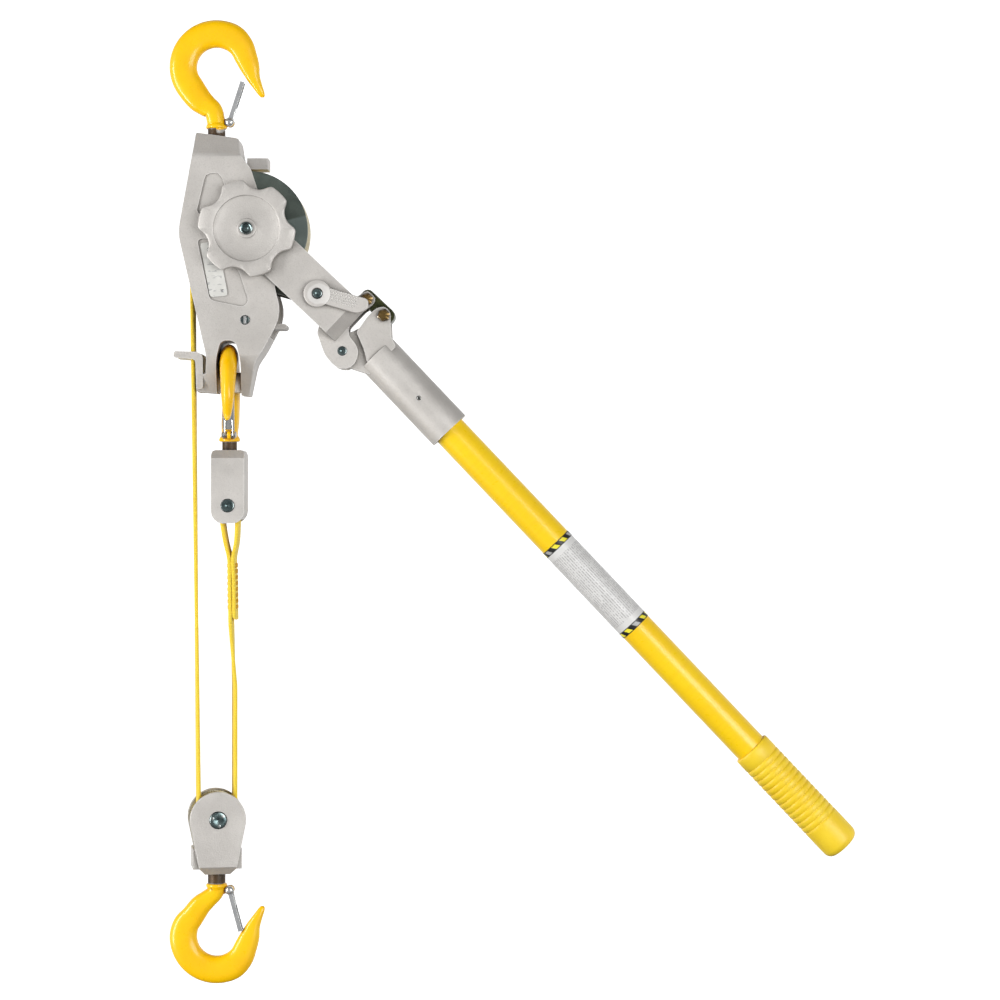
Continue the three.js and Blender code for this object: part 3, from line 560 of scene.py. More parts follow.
def inset(outline, depth):
    """The closed outline of (x, z) points moved inwards by depth."""
    count = len(outline)
    area = sum(outline[i - 1][0] * outline[i][1] - outline[i][0] * outline[i - 1][1] for i in range(count))
    side = 1 if area > 0 else -1
    moved = []
    for index, (x, z) in enumerate(outline):
        before = Vector(outline[index - 1])
        after = Vector(outline[(index + 1) % count])
        one = (Vector((x, z)) - before).normalized()
        two = (after - Vector((x, z))).normalized()
        normal = Vector((-(one + two).y, (one + two).x))
        if normal.length > 1e-6:
            normal.normalize()
        fold = max(0.5, normal.dot(Vector((-one.y, one.x))))
        moved.append((x + side * normal.x * depth / fold, z + side * normal.y * depth / fold))
    return moved


def plate(form, outline, low, high, edge, finish=0):
    """A flat outline in X and Z, from low to high along Y, its rims rounded by edge."""
    half = 0.3 * edge
    steps = [(edge, low), (half, low + half), (0, low + edge)]
    steps += [(0, high - edge), (half, high - half), (edge, high)]
    rings = [[(x, y, z) for x, z in inset(outline, depth)] for depth, y in steps]
    return form.skin(rings, finish)


def hexagon(apothem):
    """Radius of a hexagon by angle, its corners rounded."""
    def radius(angle):
        return min(apothem / math.cos(math.radians((angle % 60) - 30)), apothem * 1.14)
    return radius


def nut(form, apothem, bore, low, high):
    """Hex nut along local Z with chamfered corners and a bored, countersunk hole."""
    profile = [
        (bore, low + 0.8), (bore + 0.8, low), (apothem, low), (hexagon(apothem), low + 0.12 * apothem),
        (hexagon(apothem), high - 0.12 * apothem), (apothem, high), (bore + 0.8, high), (bore, high - 0.8),
    ]
    return lathe(form, profile, 60, looped=True)


def mirrored(profile):
    """A profile of (radius, height), then the same again on the other side of the middle."""
    return profile + [(radius, -height) for radius, height in reversed(profile)]


def pin_profile(radius, low, high, edge=0.6, dimple=0.0):
    """Round pin with rounded rims; dimple is the radius of the centre-drill mark in its low end."""
    profile = [
        (radius - edge, low), (radius - 0.3 * edge, low + 0.3 * edge), (radius, low + edge),
        (radius, high - edge), (radius - 0.3 * edge, high - 0.3 * edge), (radius - edge, high),
    ]
    if dimple:
        profile = [(0.15, low + 0.6 * dimple), (dimple, low + 0.05)] + profile
    return profile


def turned(place, profile, name, body, slot, looks=None, stands_for=(), sides=48, looped=False):
    """A piece turned from one profile about the local Z axis of its place."""
    form = Form(place)
    lathe(form, profile, sides, looped=looped)
    return form.piece(name, body, slot, looks, stands_for)


def cad_span(node):
    """Middle in X and Z, radius, and lowest and highest Y of a round node along Y, millimetres."""
    low, high = (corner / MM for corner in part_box(node))
    return (low.x + high.x) / 2, (low.z + high.z) / 2, (high.x - low.x) / 2, low.y, high.y


# ---- swivel hooks
def hook_sections(neck):
    """(x, z, half width, half thickness) from the tip round the bowl to the neck."""
    short = (TOP_NECK - neck) / 8.5
    narrowing = {200: 0.6, 220: 1.9}
    sections = [(44.2, 28.6, 0.5, 0.5), (44.1, 28.2, 1.5, 1.4), (43.7, 27.3, 2.3, 2.2)]
    sections += [(42.3, 24.5, 3.3, 3.4), (39.2, 18.6, 4.5, 4.6), (34.9, 9.7, 6.6, 5.7), (31.6, 0, 9.4, 6.6)]
    for angle in range(20, 221, 20):
        half = min(13.1, 9.8 + 0.055 * angle) - short * narrowing.get(angle, 0)
        thickness = min(8.5, 6.6 + 0.032 * angle)
        sections.append((*polar(HOOK_BOWL + half, -angle), half, thickness))
    sections += [(-16.5 + 0.9 * short, 30.5 - 1.7 * short, 12.2 - 1.9 * short, 8.6),
                 (-9.5 + 0.8 * short, 36.5 - 1.6 * short, 10.6 - 1.6 * short, 8.2),
                 (-2.7 + 1.2 * short, 42.5 - 1.2 * short, 9.1 - 1.1 * short, 8.6 - 0.6 * short)]
    sections += [(0, neck - 2.4, 8.4, 8.4), (0, neck - 0.6, 8.4, 8.4)]
    return sections


def hook_ring(sections, index, squareness):
    """The section at an index as a ring across the hook; squareness 2 makes it an ellipse."""
    sides = 40
    x, z, half, thickness = sections[index]
    x_before, z_before = sections[max(index - 1, 0)][:2]
    x_after, z_after = sections[min(index + 1, len(sections) - 1)][:2]
    travel = Vector((x_after - x_before, z_after - z_before)).normalized()
    ring = []
    for step in range(sides):
        angle = 2 * math.pi * step / sides
        power = 2 / squareness
        across = half * math.copysign(abs(math.cos(angle)) ** power, math.cos(angle))
        depth = thickness * math.copysign(abs(math.sin(angle)) ** power, math.sin(angle))
        ring.append((x - travel.y * across, depth, z + travel.x * across))
    return ring


def lug_outline(neck):
    """The latch lug: a round eye at the pivot on a root that runs into the neck."""
    x, z = LATCH_PIVOT_X, neck - LATCH_PIVOT_DROP
    eye = arc(x, z, 4, 110, -110, 12)
    return [(6, z + 5.4), (9.4, z + 4.4)] + eye + [(8.7, z - 3.3), (5.5, z - 4.6)]


def hook(prefix, place, neck, shank, length, squareness=2.5):
    """The forged hook with its collar and latch lug in enamel, and its bare steel shank."""
    form = Form(place)
    fine = spline(hook_sections(neck), 5)
    form.skin([hook_ring(fine, index, squareness) for index in range(len(fine))])
    collar = [(8.4, neck - 5.2), (9.0, neck - 4.2), (9.9, neck - 2.6), (10.1, neck - 1.2), (9.8, neck - 0.3)]
    lathe(form, collar + [(9.2, neck + 0.2)])
    plate(form, lug_outline(neck), -1.7, 1.7, 0.6)
    top = neck + length
    threaded = [(shank, neck - 2), (shank, top - 12)]
    for step in range(6):
        threaded += [(shank - 0.15, top - 11.6 + 2 * step), (shank - 0.75, top - 10.8 + 2 * step)]
    lathe(form, threaded + [(shank - 0.9, top - 0.6), (shank - 1.6, top)], finish=1)
    form.piece(f"{prefix}_hook_body", f"{prefix}_hook_body", "yellow_enamel",
               ["yellow_enamel", "shank_steel"], [f"{prefix}_hook"], crease=50)
    collar_nut = Form(place)
    nut(collar_nut, (shank + 3.2) * 0.87, shank + 0.2, top - 10, top - 2)
    collar_nut.piece(f"{prefix}_swivel_nut", f"{prefix}_hook_body", "zinc_steel",
                     stands_for=[f"{prefix}_hook_nut"])


def latch_rivet(prefix, place, neck):
    """Headed pin that the latch turns on."""
    pivot = place @ spot(LATCH_PIVOT_X, 0, neck - LATCH_PIVOT_DROP) @ ALONG_Y
    head = [(0.2, -7.2), (1.6, -7.1), (2.8, -6.7), (3.2, -6.2), (3.2, -5.8), (2, -5.7)]
    turned(pivot, mirrored(head), f"{prefix}_rivet", f"{prefix}_hook_body", "zinc_steel",
           stands_for=[f"{prefix}_latch_rivet"], sides=32)


def latch_spring(prefix, place, neck, angle):
    """Torsion spring: coils on both sides of the lug, legs on the neck and down the blade."""
    pivot = place @ spot(LATCH_PIVOT_X, 0, neck - LATCH_PIVOT_DROP)
    wire, coil, turns, steps = 0.4, 2.6, 2, 20
    coils, legs = Form(pivot), Form(pivot @ turn(angle, "Y"))
    for side in (-1, 1):
        path = [(-coil - 0.7, side * 2.1, -3.4), (-coil, side * 2.1, -1.2)]
        for step in range(turns * steps + 1):
            swing = math.radians(180 - 360 * step / steps)
            reach = side * (2.1 + 1.5 * step / (turns * steps))
            path.append((coil * math.cos(swing), reach, coil * math.sin(swing)))
        tube(coils, path, wire, 10)
        tube(legs, [(0, side * 3.6, coil), (7, side * 3.6, coil - 0.6), (15, side * 3.2, 1.6)], wire, 10)
    coils.piece(f"{prefix}_latch_spring", f"{prefix}_hook_body", "zinc_steel")
    legs.piece(f"{prefix}_latch_spring_legs", f"{prefix}_latch_body", "zinc_steel")


def hooks():
    hook("top", TOP_HOOK, TOP_NECK, TOP_SHANK, TOP_SHANK_LENGTH)
    hook("anchor", ANCHOR_HOOK, ANCHOR_NECK, ANCHOR_SHANK, ANCHOR_SHANK_LENGTH, 2.05)
    hook("bottom", BOTTOM_HOOK, BOTTOM_NECK, BOTTOM_SHANK, BOTTOM_SHANK_LENGTH)
    latch_rivet("top", TOP_HOOK, TOP_NECK)
    latch_rivet("anchor", ANCHOR_HOOK, ANCHOR_NECK)
    latch_rivet("bottom", BOTTOM_HOOK, BOTTOM_NECK)
    latch_spring("top", TOP_HOOK, TOP_NECK, 72)
    latch_spring("anchor", ANCHOR_HOOK, ANCHOR_NECK, 76.5)
    latch_spring("bottom", BOTTOM_HOOK, BOTTOM_NECK, 75)


# ---- turned pieces
def turned_pin(node, body, slot, edge=0.6, dimple=0.0, look=None):
    """A smooth round pin along Y in the place of a CAD one."""
    x, z, radius, low, high = cad_span(node)
    turned(spot(x, 0, z) @ ALONG_Y, pin_profile(radius, low, high, edge, dimple),
           f"{node}_turned", body, slot, [look or slot], [node])


def turned_ring(node, body, slot, bore, edge=0.5, look=None):
    """A smooth ring along Y with rounded rims in the place of a CAD one."""
    x, z, radius, low, high = cad_span(node)
    profile = [(bore, low + edge), (bore + edge, low), (radius - edge, low), (radius, low + edge),
               (radius, high - edge), (radius - edge, high), (bore + edge, high), (bore, high - edge)]
    turned(spot(x, 0, z) @ ALONG_Y, profile, f"{node}_turned", body, slot, [look or slot], [node],
           sides=96, looped=True)


def turned_nut(node, body, slot, bore):
    """A chamfered hex nut along Y in the place of a CAD one."""
    x, z, radius, low, high = cad_span(node)
    form = Form(spot(x, 0, z) @ ALONG_Y)
    nut(form, radius * 0.87, bore, low, high)
    form.piece(f"{node}_turned", body, slot, stands_for=[node])


def scalloped(lobes=6, first=13, outer=45.5, cut_centre=54.0, cut_radius=16.5):
    """Edge radius of the hand wheel by angle: round lobes between round finger cuts."""
    def bare(angle):
        off = abs((angle - first + 180 / lobes) % (360 / lobes) - 180 / lobes)
        away = math.radians(180 / lobes - off)
        reach = cut_radius ** 2 - (cut_centre * math.sin(away)) ** 2
        if reach <= 0:
            return outer
        return min(outer, cut_centre * math.cos(away) - math.sqrt(reach))

    def radius(angle):
        window = (-3, -2, -1, 0, 1, 2, 3)
        return sum(bare(angle + shift) for shift in window) / len(window)
    return radius


def hand_wheel():
    """Cast wheel with finger cuts round its edge and a dished face, on the end of the drum shaft."""
    edge = scalloped()

    def lobed(shift):
        return lambda angle: edge(angle) + shift
    profile = [
        (3.4, -31), (lobed(-1.2), -31), (lobed(-0.3), -31.4), (lobed(0), -32.2), (lobed(0), -37.1),
        (lobed(-0.3), -37.9), (lobed(-1.3), -38.5), (31.9, -38.5), (31.2, -38.2), (30.8, -36.9),
        (30.1, -36.5), (9.9, -36.5), (9.2, -36.8), (8.8, -38.0), (8.1, -38.3), (3.6, -38.1), (3.4, -37.9),
    ]
    turned(DRUM_AXIS, profile, "hand_wheel_cast", "drum", "cast_aluminium", stands_for=["hand_wheel"],
           sides=360, looped=True)


def wheel_screw():
    """Round-headed screw with a dished face that holds the hand wheel."""
    profile = [
        (0.2, -40.3), (1.4, -40.2), (2.2, -39.8), (3.4, -39.9), (4.6, -40.9), (5.2, -41), (5.8, -40.7),
        (6, -40.2), (6, -38.4), (3, -38.4), (3, -31.2),
    ]
    turned(DRUM_AXIS, profile, "hand_wheel_cap_screw", "drum", "dark_steel", ["blued_steel"],
           ["hand_wheel_screw"], sides=60)


def strap_roll():
    """Webbing wound on the hub: round layer edges on both sides, one lap on top."""
    form = Form(DRUM_AXIS)
    half = STRAP_WIDTH / 2
    layers = 9
    inner, outer = 20.4, 53.0
    pitch = (outer - inner) / layers
    side = []
    for layer in range(layers):
        low = inner + layer * pitch
        side += [(low + 0.1, half - 0.7), (low + 0.5, half - 0.15), (low + 1.2, half)]
        side += [(low + pitch - 1.2, half), (low + pitch - 0.5, half - 0.15)]
    side.append((outer, half - 0.7))
    profile = mirrored(side)
    sides = 96
    lengths = [0.0]
    for before, after in zip(profile, profile[1:]):
        lengths.append(lengths[-1] + math.dist(before, after))
    rings = [circle(radius, height, sides) for radius, height in profile + profile[:1]]
    flat = [[(length, 2 * math.pi * outer * step / sides) for step in range(sides + 1)]
            for length in lengths + [lengths[-1] + 1]]
    form.skin(rings, capped=False, flat=flat)
    form.piece("strap_roll_wound", "drum", "webbing", stands_for=["strap_roll"])


def drum_pieces():
    turned_pin("drum_shaft", "drum", "zinc_steel", 0.8, 1.6)
    turned_ring("flange_front", "drum", "dark_steel", 8.3, 0.5, "turned_steel")
    # The back flange is dark steel like the front one; its pale look is a painted highlight.
    turned_ring("flange_back", "drum", "dark_steel", 8.3, 0.5, "flange_painted_highlight")
    turned_ring("shaft_washer", "drum", "zinc_steel", 8.3, 0.3)
    turned_nut("shaft_nut", "drum", "zinc_steel", 8.2)
    for end in ("front", "back"):
        turned_ring(f"shaft_bushing_{end}", "frame", "bronze", 8.2, 0.4)
    hand_wheel()
    wheel_screw()
    strap_roll()


def barred_pin():
    """Pin of the holding pawls, dished at both ends, a bright bar left standing across its front end."""
    x, z, radius, low, high = cad_span("holding_pawl_pin")
    form = Form(spot(x, 0, z))
    rim = [(0.2, low + 0.9), (radius - 0.8, low + 0.7), (radius - 0.4, low + 0.1), (radius, low + 0.4)]
    round_rings = [[(px, y, pz) for px, pz, _ in circle(reach, 0)]
                   for reach, y in rim + [(reach, low + high - y) for reach, y in reversed(rim)]]
    form.skin(round_rings)
    half, reach = 1.3, radius - 0.6
    bar = [(-half, -reach), (half, -reach), (half, reach), (-half, reach)]
    plate(form, bar, low, low + 1.2, 0.25, 1)
    form.piece("holding_pawl_pin_turned", "frame", "zinc_steel", ["blued_steel", "zinc_steel"],
               ["holding_pawl_pin"])


def pins():
    barred_pin()
    turned_pin("anchor_pin", "frame", "zinc_steel", 0.8, 1.6, "blued_steel")
    for index in (1, 2):
        turned_pin(f"nameplate_rivet_{index}", "frame", "zinc_steel", 0.45)


# ---- handle
def local_pin(node, x, z, radius, low, high, body, slot):
    """A smooth pin along Y at a place in the handle's frame."""
    turned(HANDLE @ spot(x, 0, z) @ ALONG_Y, pin_profile(radius, low, high, 0.6, 1.2),
           f"{node}_turned", body, slot, ["blued_steel"], [node])


def link_bolts():
    """Hex-headed bolts and nuts that clamp the overload link."""
    head = hexagon(5.4)
    profile = [(0.2, -21.6), (4.7, -21.6), (head, -20.9), (head, -17.4), (3.2, -17.3), (3.2, 23.4), (2.6, 24)]
    for index, x in enumerate(LINK_BOLTS, start=1):
        place = HANDLE @ spot(x, 0, LINK_HEIGHT) @ ALONG_Y
        bolt, bolt_nut = f"link_bolt_{index}", f"link_nut_{index}"
        turned(place, profile, f"{bolt}_turned", "handle", "yellow_zinc", ["bolt_zinc"], [bolt], sides=60)
        form = Form(place)
        nut(form, 5.4, 3.3, 17.3, 22.5)
        form.piece(f"{bolt_nut}_turned", "handle", "dark_steel", stands_for=[bolt_nut])


def tube_flat(profile, radius, sides):
    """Flat coordinates of a turned piece: around it, then along it."""
    around = [2 * math.pi * radius * step / sides for step in range(sides + 1)]
    return [[(turned, length) for turned in around] for _, length in profile]


def handle_tube():
    form = Form(TUBE @ ALONG_X)
    end = GRIP_END - 5
    profile = [(12.4, end), (12.4, 13.2), (15.2, 13), (TUBE_RADIUS, 13.6), (TUBE_RADIUS, end - 0.5)]
    profile.append((15.4, end))
    flat = [[(u * MM, v * MM) for u, v in ring] for ring in tube_flat(profile, TUBE_RADIUS, 96)]
    form.skin([circle(radius, length, 96) for radius, length in profile], capped=False, flat=flat)
    form.piece("handle_tube_fine", "handle", "fibreglass", stands_for=["handle_tube"])


def handle_label():
    form = Form(TUBE @ ALONG_X)
    inner, outer = TUBE_RADIUS + 0.05, TUBE_RADIUS + 0.3
    profile = [(inner, LABEL_START), (outer, LABEL_START + 0.1), (outer, LABEL_END - 0.1), (inner, LABEL_END)]
    flat = [[(u, v - LABEL_START) for u, v in ring] for ring in tube_flat(profile, outer, 96)]
    form.skin([circle(radius, length, 96) for radius, length in profile], capped=False, flat=flat)
    form.piece("handle_label_wrap", "handle", "label", stands_for=["handle_label"])


def grip_profile():
    """Dipped grip: rolled mouth, plain collar, finger ribs, plain stretch and rounded end."""
    profile = [(16.0, GRIP_START + 2), (16.2, GRIP_START), (17.3, GRIP_START), (18.1, GRIP_START + 0.5)]
    profile += [(18.5, GRIP_START + 1.6), (18.55, GRIP_START + 4)]
    ribs, first, pitch = 14, GRIP_START + 14, 6.1
    for rib in range(ribs):
        start = first + rib * pitch
        profile += [(18.55, start), (18.2, start + 0.45), (18.0, start + 1.0), (18.2, start + 1.55)]
        profile += [(18.55, start + 2), (18.6, start + 3.6)]
    profile.append((18.55, GRIP_END - 12))
    for step in range(1, 10):
        angle = math.radians(step * 10)
        profile.append((11.5 + 7.05 * math.cos(angle), GRIP_END - 8 + 8 * math.sin(angle)))
    return profile + [(6, GRIP_END), (0.3, GRIP_END)]


def handle_grip():
    form = Form(TUBE @ ALONG_X)
    profile = [(0.3, GRIP_END - 4), (16.0, GRIP_END - 4)] + grip_profile()
    lathe(form, profile, 96)
    form.piece("handle_grip_dipped", "handle", "vinyl_grip", stands_for=["handle_grip"], crease=60)


def set_screw():
    """Small hex-socket screw in the side of the handle socket."""
    key = hexagon(1.0)
    profile = [(0.2, -19.6), (key, -19.6), (key, -20.6), (1.6, -20.8), (2.1, -20.3), (2.1, -17)]
    turned(TUBE @ spot(SET_SCREW, 0, 0) @ ALONG_Y, profile, "socket_set_screw_fine", "handle", "dark_steel",
           stands_for=["socket_set_screw"], sides=60)


def thumb_knurl():
    """Rows of small raised points on the thumb pad."""
    form = Form(HANDLE)
    rows, columns, pitch = 5, 11, 2.5
    slope = math.radians(27)
    ahead = Vector((math.cos(slope), math.sin(slope)))
    aside = Vector((-ahead.y, ahead.x))
    start = Vector((101.5, 3.0))
    for row in range(rows):
        for column in range(columns):
            shift = 0.5 * (row % 2)
            middle = start + ahead * pitch * (column + shift) + aside * pitch * (row + 0.4)
            rings = [[(middle.x + x, y, middle.y + z) for x, z, _ in circle(radius, 0, 8)]
                     for radius, y in ((0.95, -35.9), (0.3325, -36.55))]
            form.skin(rings)
    form.piece("thumb_lever_knurl", "drive_pawl", "cast_aluminium")


def lever_boss():
    """Raised ring round the pawl shaft on the thumb lever."""
    x, z = PAWL_SHAFT
    profile = [(5.2, -35.2), (5.2, -36.3), (5.6, -36.7), (11.6, -36.7), (12.4, -36.4), (12.8, -35.8)]
    turned(HANDLE @ spot(x, 0, z) @ ALONG_Y, profile + [(12.8, -35.2)], "thumb_lever_boss", "drive_pawl",
           "cast_aluminium", sides=72, looped=True)


def handle_pieces():
    local_pin("handle_hinge_pin", *HINGE_PIN, 4.3, -17.8, 17.8, "handle", "zinc_steel")
    local_pin("drive_pawl_shaft", *PAWL_SHAFT, 4.5, -37, 33, "drive_pawl", "dark_steel")
    link_bolts()
    handle_tube()
    handle_label()
    handle_grip()
    set_screw()
    thumb_knurl()
    lever_boss()


# ---- webbing
def strap_section(columns=26, corner=1.2):
    """(across, through, distance round) of the webbing's section, its faces ribbed by the warp."""
    half, depth = STRAP_WIDTH / 2, STRAP_THICKNESS / 2
    face = []
    for column in range(columns + 1):
        across = -half + corner + (STRAP_WIDTH - 2 * corner) * column / columns
        face.append((across, depth - (0.14 if column % 2 else 0.0)))
    edge = []
    for step in range(1, 6):
        angle = math.radians(90 - 30 * step)
        edge.append((half - corner + corner * math.cos(angle), depth * math.sin(angle)))
    side = face + edge
    ring = side + [(-across, -through) for across, through in side]
    distance, result = 0.0, []
    for index, (across, through) in enumerate(ring):
        result.append((across, through, distance))
        after = ring[(index + 1) % len(ring)]
        distance += math.dist((across, through), after)
    return result, distance


def strap(name, path, body, node, twist=0.0, place=None, slanted=0.0, twist_share=1.0):
    """Flat webbing along a path of (x, y, z); twist turns its lower end about Z by degrees, all of
    it within the given share of the length."""
    section, perimeter = strap_section()
    form = Form(place)
    rings, flat, length = [], [], 0.0
    points = [Vector(point) for point in path]
    for index, point in enumerate(points):
        travel = (points[min(index + 1, len(points) - 1)] - points[max(index - 1, 0)]).normalized()
        share = min(1.0, index / (len(points) - 1) / twist_share)
        across = Vector((0, 1, 0))
        across.rotate(Matrix.Rotation(math.radians(twist * share), 3, "Z"))
        through = travel.cross(across).normalized()
        lean = slanted if index == len(points) - 1 else 0.0
        rings.append([point + across * a + through * t + travel * lean * t for a, t, _ in section])
        if index:
            length += (point - points[index - 1]).length
        flat.append([(distance, length) for _, _, distance in section] + [(perimeter, length)])
    form.skin(rings, flat=flat)
    return form.piece(name, body, "webbing", stands_for=[node], crease=60)


def straight(top, bottom, steps):
    return [Vector(top).lerp(Vector(bottom), step / steps) for step in range(steps + 1)]


def strap_loop_path():
    """Down the inside from the sewn seam, round the anchor pin and back down the outside."""
    radius = 6.6 + STRAP_THICKNESS / 2
    x, z = ANCHOR_PIN
    main = [(13.9, -545.3), (13.75, -530), (13.55, -515), (13.3, -500), (12.7, -484), (8.6, -466)]
    round_pin = arc(x, z, radius, 188, -8, 8)
    tail = [(19.6, -466), (16.6, -484), (17.1, -500), (17.5, -515), (17.6, -530), (17.8, -541)]
    return [(px, 0, pz) for px, pz in spline(main + round_pin + tail, 8)]


def tail_stitches():
    """Rows of thread along the sewn tail, on both outer faces."""
    form = Form()
    rows, stitch, gap = 5, 4.2, 1.4
    for face in (-1, 1):
        for row in range(rows):
            y = (row - (rows - 1) / 2) * 4.6
            z = -489.0
            while z - stitch > -537:
                share = (-489 - z) / 48
                x = 13.3 - 1.85 + 0.45 * share if face < 0 else 16.9 + 1.85 + 0.6 * share
                lift = face * 0.22
                path = [(x - lift * 2, y, z), (x + lift, y, z - 0.6), (x + lift, y, z - stitch + 0.6),
                        (x - lift * 2, y, z - stitch)]
                tube(form, path, 0.36, 8)
                z -= stitch + gap
    form.piece("tail_stitching", "frame", "webbing", ["thread"])


def straps():
    reach = 15.3 + STRAP_THICKNESS / 2
    low_x, low_y = polar(reach, BLOCK_TURN)
    bight_top = SHEAVE_Z + 2.2
    fall_top, return_top = -178.0, -545.6
    fall = strap("strap_fall_woven", straight((-23.05, 0, fall_top), (-low_x, -low_y, bight_top + 0.3), 60),
                 "frame", "strap_fall", BLOCK_TURN)
    aligned = return_top - 60
    back = strap("strap_return_woven",
                 straight((13.9, 0, return_top), (low_x, low_y, aligned), 12)
                 + straight((low_x, low_y, aligned), (low_x, low_y, bight_top + 0.3), 18)[1:],
                 "frame", "strap_return", BLOCK_TURN, twist_share=0.4)
    for piece, top in ((fall, fall_top), (back, return_top)):
        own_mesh(piece)
    strap("strap_loop_woven", strap_loop_path(), "frame", "strap_loop", slanted=0.9)
    bight = [(-reach, 0, bight_top), (-reach, 0, SHEAVE_Z + 1)]
    bight += [(x, 0, z) for x, z in arc(0, SHEAVE_Z, reach, 180, 360, 32)]
    bight += [(reach, 0, SHEAVE_Z + 1), (reach, 0, bight_top)]
    strap("strap_bight_woven", bight, "lower_block", "strap_bight", place=LOWER_BLOCK)
    tail_stitches()


# ---- lower block
def sheave():
    """Grooved wheel: two flanges on a plain root, with a bored hub."""
    half = [(8.4, 14.2), (8.8, 14.5), (23.9, 14.5), (24.7, 14.3), (25, 13.9), (24.7, 13.5)]
    half += [(15.9, 13.0), (15, 12.6)]
    turned(SHEAVE_AXIS, mirrored(half), "sheave_turned", "sheave_body", "yellow_zinc",
           stands_for=["sheave"], sides=96, looped=True)


def sheave_pin():
    """Pin of the sheave, its end staked in three places."""
    form = Form(SHEAVE_AXIS)
    profile = [(0.15, -20.2), (1.2, -20.9), (7.2, -21), (7.7, -20.8), (8, -20.4)]
    profile += [(8, 20.4), (7.7, 20.8), (7.2, 21)]
    lathe(form, profile, 64)
    for angle in (200, 320, 80):
        x, z = polar(5.6, angle)
        form.skin([[(px * 0.6 + x, pz * 0.6 + z, height) for px, pz, _ in circle(size, 0, 20)]
                   for size, height in ((2.2, -20.8), (2.0, -21.15), (1.2, -21.2), (0.9, -20.9))])
    form.piece("sheave_pin_turned", "lower_block", "zinc_steel", ["blued_steel"], ["sheave_pin"])


# ---- CAD pieces that stay
def edge_group(name, smooth):
    """Node group for a modifier: joins split corners, or smooths faces that meet at a low angle."""
    group = bpy.data.node_groups.new(name, "GeometryNodeTree")
    group.interface.new_socket("Geometry", in_out="INPUT", socket_type="NodeSocketGeometry")
    group.interface.new_socket("Geometry", in_out="OUTPUT", socket_type="NodeSocketGeometry")
    nodes, links = group.nodes, group.links
    start, end = nodes.new("NodeGroupInput"), nodes.new("NodeGroupOutput")
    if smooth:
        faces = nodes.new("GeometryNodeSetShadeSmooth")
        edges = nodes.new("GeometryNodeSetShadeSmooth")
        edges.domain = "EDGE"
        angle = nodes.new("GeometryNodeInputMeshEdgeAngle")
        gentle = nodes.new("FunctionNodeCompare")
        gentle.operation = "LESS_EQUAL"
        gentle.inputs[1].default_value = math.radians(32)
        links.new(angle.outputs["Unsigned Angle"], gentle.inputs[0])
        links.new(gentle.outputs[0], edges.inputs["Shade Smooth"])
        links.new(start.outputs[0], faces.inputs["Geometry"])
        links.new(faces.outputs[0], edges.inputs["Geometry"])
        links.new(edges.outputs[0], end.inputs[0])
    else:
        merge = nodes.new("GeometryNodeMergeByDistance")
        merge.inputs["Distance"].default_value = 2e-6
        plain = nodes.new("GeometryNodeRemoveAttribute")
        plain.inputs["Name"].default_value = "custom_normal"
        sharp = nodes.new("GeometryNodeRemoveAttribute")
        sharp.inputs["Name"].default_value = "sharp_edge"
        links.new(start.outputs[0], plain.inputs["Geometry"])
        links.new(plain.outputs[0], sharp.inputs["Geometry"])
        links.new(sharp.outputs[0], merge.inputs["Geometry"])
        links.new(merge.outputs[0], end.inputs[0])
    return group


JOIN_CORNERS = edge_group("join_corners", smooth=False)
SMOOTH_EDGES = edge_group("smooth_edges", smooth=True)


def softened(node, look, width, segments=2):
    """Gives a CAD node rounded edges of the given width in millimetres, and its material."""
    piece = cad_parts[node]
    piece.data.materials.clear()
    piece.data.materials.append(LOOKS[look])
    piece.modifiers.new("join", "NODES").node_group = JOIN_CORNERS
    flatten = piece.modifiers.new("flatten", "DECIMATE")
    flatten.decimate_type = "DISSOLVE"
    flatten.angle_limit = math.radians(0.6)
    round_off = piece.modifiers.new("round", "BEVEL")
    round_off.width = width * MM
    round_off.segments = segments
    round_off.limit_method = "ANGLE"
    round_off.angle_limit = math.radians(28)
    round_off.use_clamp_overlap = True
    piece.modifiers.new("smooth", "NODES").node_group = SMOOTH_EDGES
    level = piece.modifiers.new("level", "WEIGHTED_NORMAL")
    level.keep_sharp = True


def cad_pieces():
    softened("frame_casting", "cast_aluminium", 0.9, 3)
    for node in ("handle_yoke", "handle_socket", "block_housing", "anchor_block"):
        softened(node, "cast_aluminium", 0.9, 3)
    softened("drum_hub", "cast_aluminium", 0.5)
    softened("thumb_lever", "cast_aluminium", 0.9, 3)
    softened("overload_link", "olive_steel", 0.8, 3)
    softened("release_tab", "cast_aluminium", 0.8, 3)
    for node in ("drive_pawl_front", "drive_pawl_back", "holding_pawl_front", "holding_pawl_back"):
        softened(node, "dark_steel", 0.4)
    for node in ("ratchet_front", "ratchet_back"):
        softened(node, "dark_steel", 0.3)
    for node in ("top_latch", "anchor_latch", "bottom_latch"):
        softened(node, "zinc_steel", 0.35)
    softened("nameplate", "nameplate", 0.15)


# ---- stage, light and camera
def camera_only(piece):
    """Seen by the camera, but throws no light on the hoist and takes none from it."""
    piece.visible_diffuse = False
    piece.visible_glossy = False
    piece.visible_transmission = False
    piece.visible_shadow = False


def set_piece(name, build, noise_scale, pale, glow, roughness):
    """A white glowing surface of the set, made from a bmesh."""
    mesh = bpy.data.meshes.new(name)
    build.to_mesh(mesh)
    build.free()
    made = added(name, mesh)
    look = Finish(name, Roughness=roughness)
    look.colour(look.blend(look.noise(noise_scale, 2), (250, 250, 250), (pale, pale, pale)))
    look.shader.inputs["Emission Color"].default_value = (1, 1, 1, 1)
    look.shader.inputs["Emission Strength"].default_value = glow
    mesh.materials.append(look.material)
    camera_only(made)


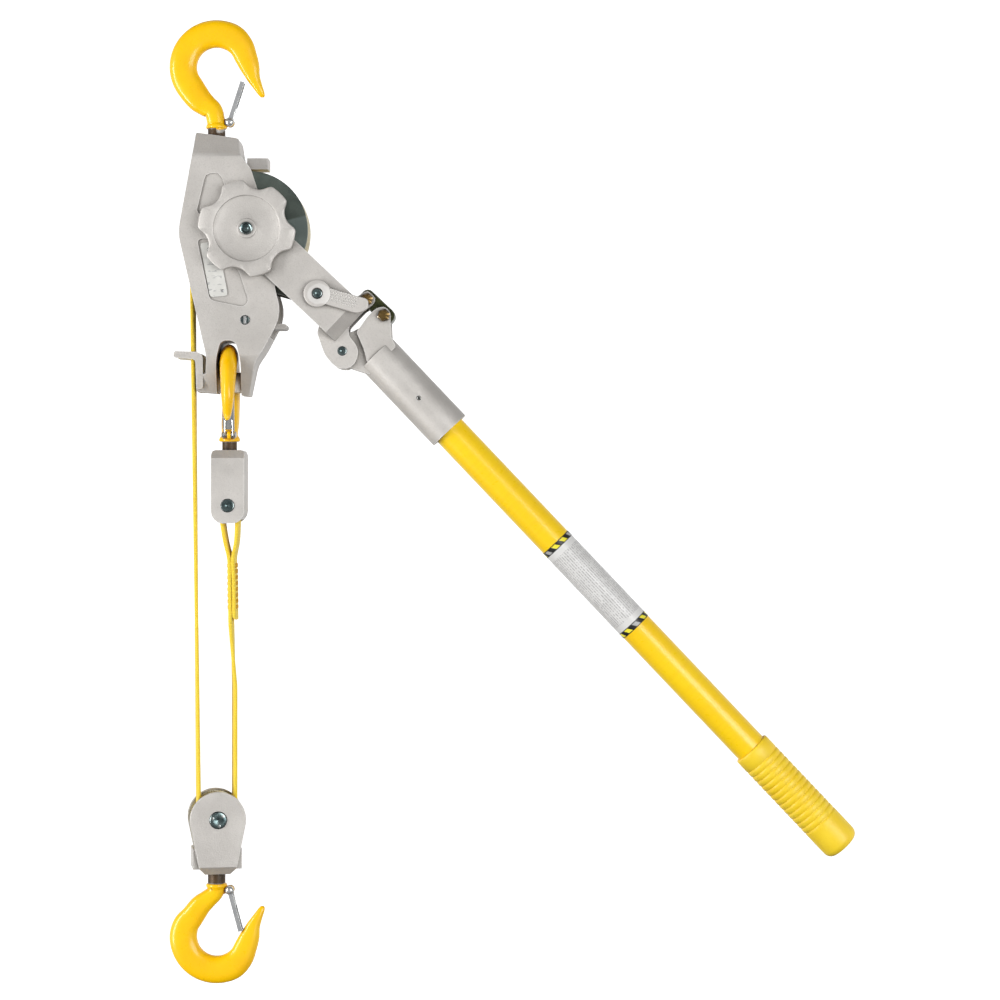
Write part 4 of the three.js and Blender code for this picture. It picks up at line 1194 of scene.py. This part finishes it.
def floor():
    """Wide pale floor under the hanging hoist."""
    build = bmesh.new()
    bmesh.ops.create_grid(build, x_segments=6, y_segments=6, size=9.0)
    bmesh.ops.translate(build, verts=build.verts, vec=(0.27, 0, -0.99))
    set_piece("floor", build, 3, 245, 0.9, 0.9)


def backdrop():
    """White dome round the set."""
    build = bmesh.new()
    bmesh.ops.create_uvsphere(build, u_segments=32, v_segments=16, radius=12.0)
    set_piece("backdrop", build, 1, 246, 1.0, 1.0)


def area_light(name, place, target, width, height, watts):
    data = bpy.data.lights.new(name, "AREA")
    data.shape = "RECTANGLE"
    data.size, data.size_y = width, height
    data.energy = watts
    made = added(name, data)
    made.location = place
    made.rotation_mode = "QUATERNION"
    made.rotation_quaternion = (Vector(target) - Vector(place)).to_track_quat("-Z", "Y")


def studio_world():
    """Soft room light, stronger behind the hoist than before it and weak overhead and underfoot."""
    world = bpy.data.worlds.new("studio")
    world.use_nodes = True
    nodes, links = world.node_tree.nodes, world.node_tree.links
    parts = nodes.new("ShaderNodeSeparateXYZ")
    links.new(nodes.new("ShaderNodeTexCoord").outputs["Generated"], parts.inputs[0])
    steep = nodes.new("ShaderNodeMath")
    steep.operation = "ABSOLUTE"
    links.new(parts.outputs["Z"], steep.inputs[0])
    level = nodes.new("ShaderNodeMath")
    level.operation = "MULTIPLY"
    spans = ((parts.outputs["Y"], -1.0, 1.0, 0.4, 1.0), (steep.outputs[0], 0.25, 0.85, 1.0, 0.1))
    for index, (source, *numbers) in enumerate(spans):
        span = nodes.new("ShaderNodeMapRange")
        for socket, number in zip(span.inputs[1:5], numbers):
            socket.default_value = number
        links.new(source, span.inputs[0])
        links.new(span.outputs[0], level.inputs[index])
    links.new(level.outputs[0], nodes["Background"].inputs["Strength"])
    nodes["Background"].inputs["Color"].default_value = (1, 1, 1, 1)
    bpy.context.scene.world = world


def lights():
    middle = (0.2, 0, -0.4)
    area_light("key", (1.9, -2.4, -0.3), middle, 2.0, 1.5, 50)
    area_light("side", (-1.6, -1.0, -0.5), middle, 0.4, 1.8, 34)
    area_light("top", (0.1, 0.3, 1.3), middle, 1.4, 0.8, 2)


def camera():
    """Square-on to the frame, level with the middle of the hoist."""
    data = bpy.data.cameras.new("camera")
    data.lens = 91.0
    made = added("camera", data)
    made.location = (0.269, -2.4, -0.429)
    made.rotation_euler = (math.radians(90), 0, 0)
    bpy.context.scene.camera = made


camera()
studio_world()
lights()
floor()
backdrop()
bpy.context.scene.view_settings.view_transform = "Standard"
cad_pieces()
hooks()
drum_pieces()
pins()
handle_pieces()
straps()
sheave()
sheave_pin()
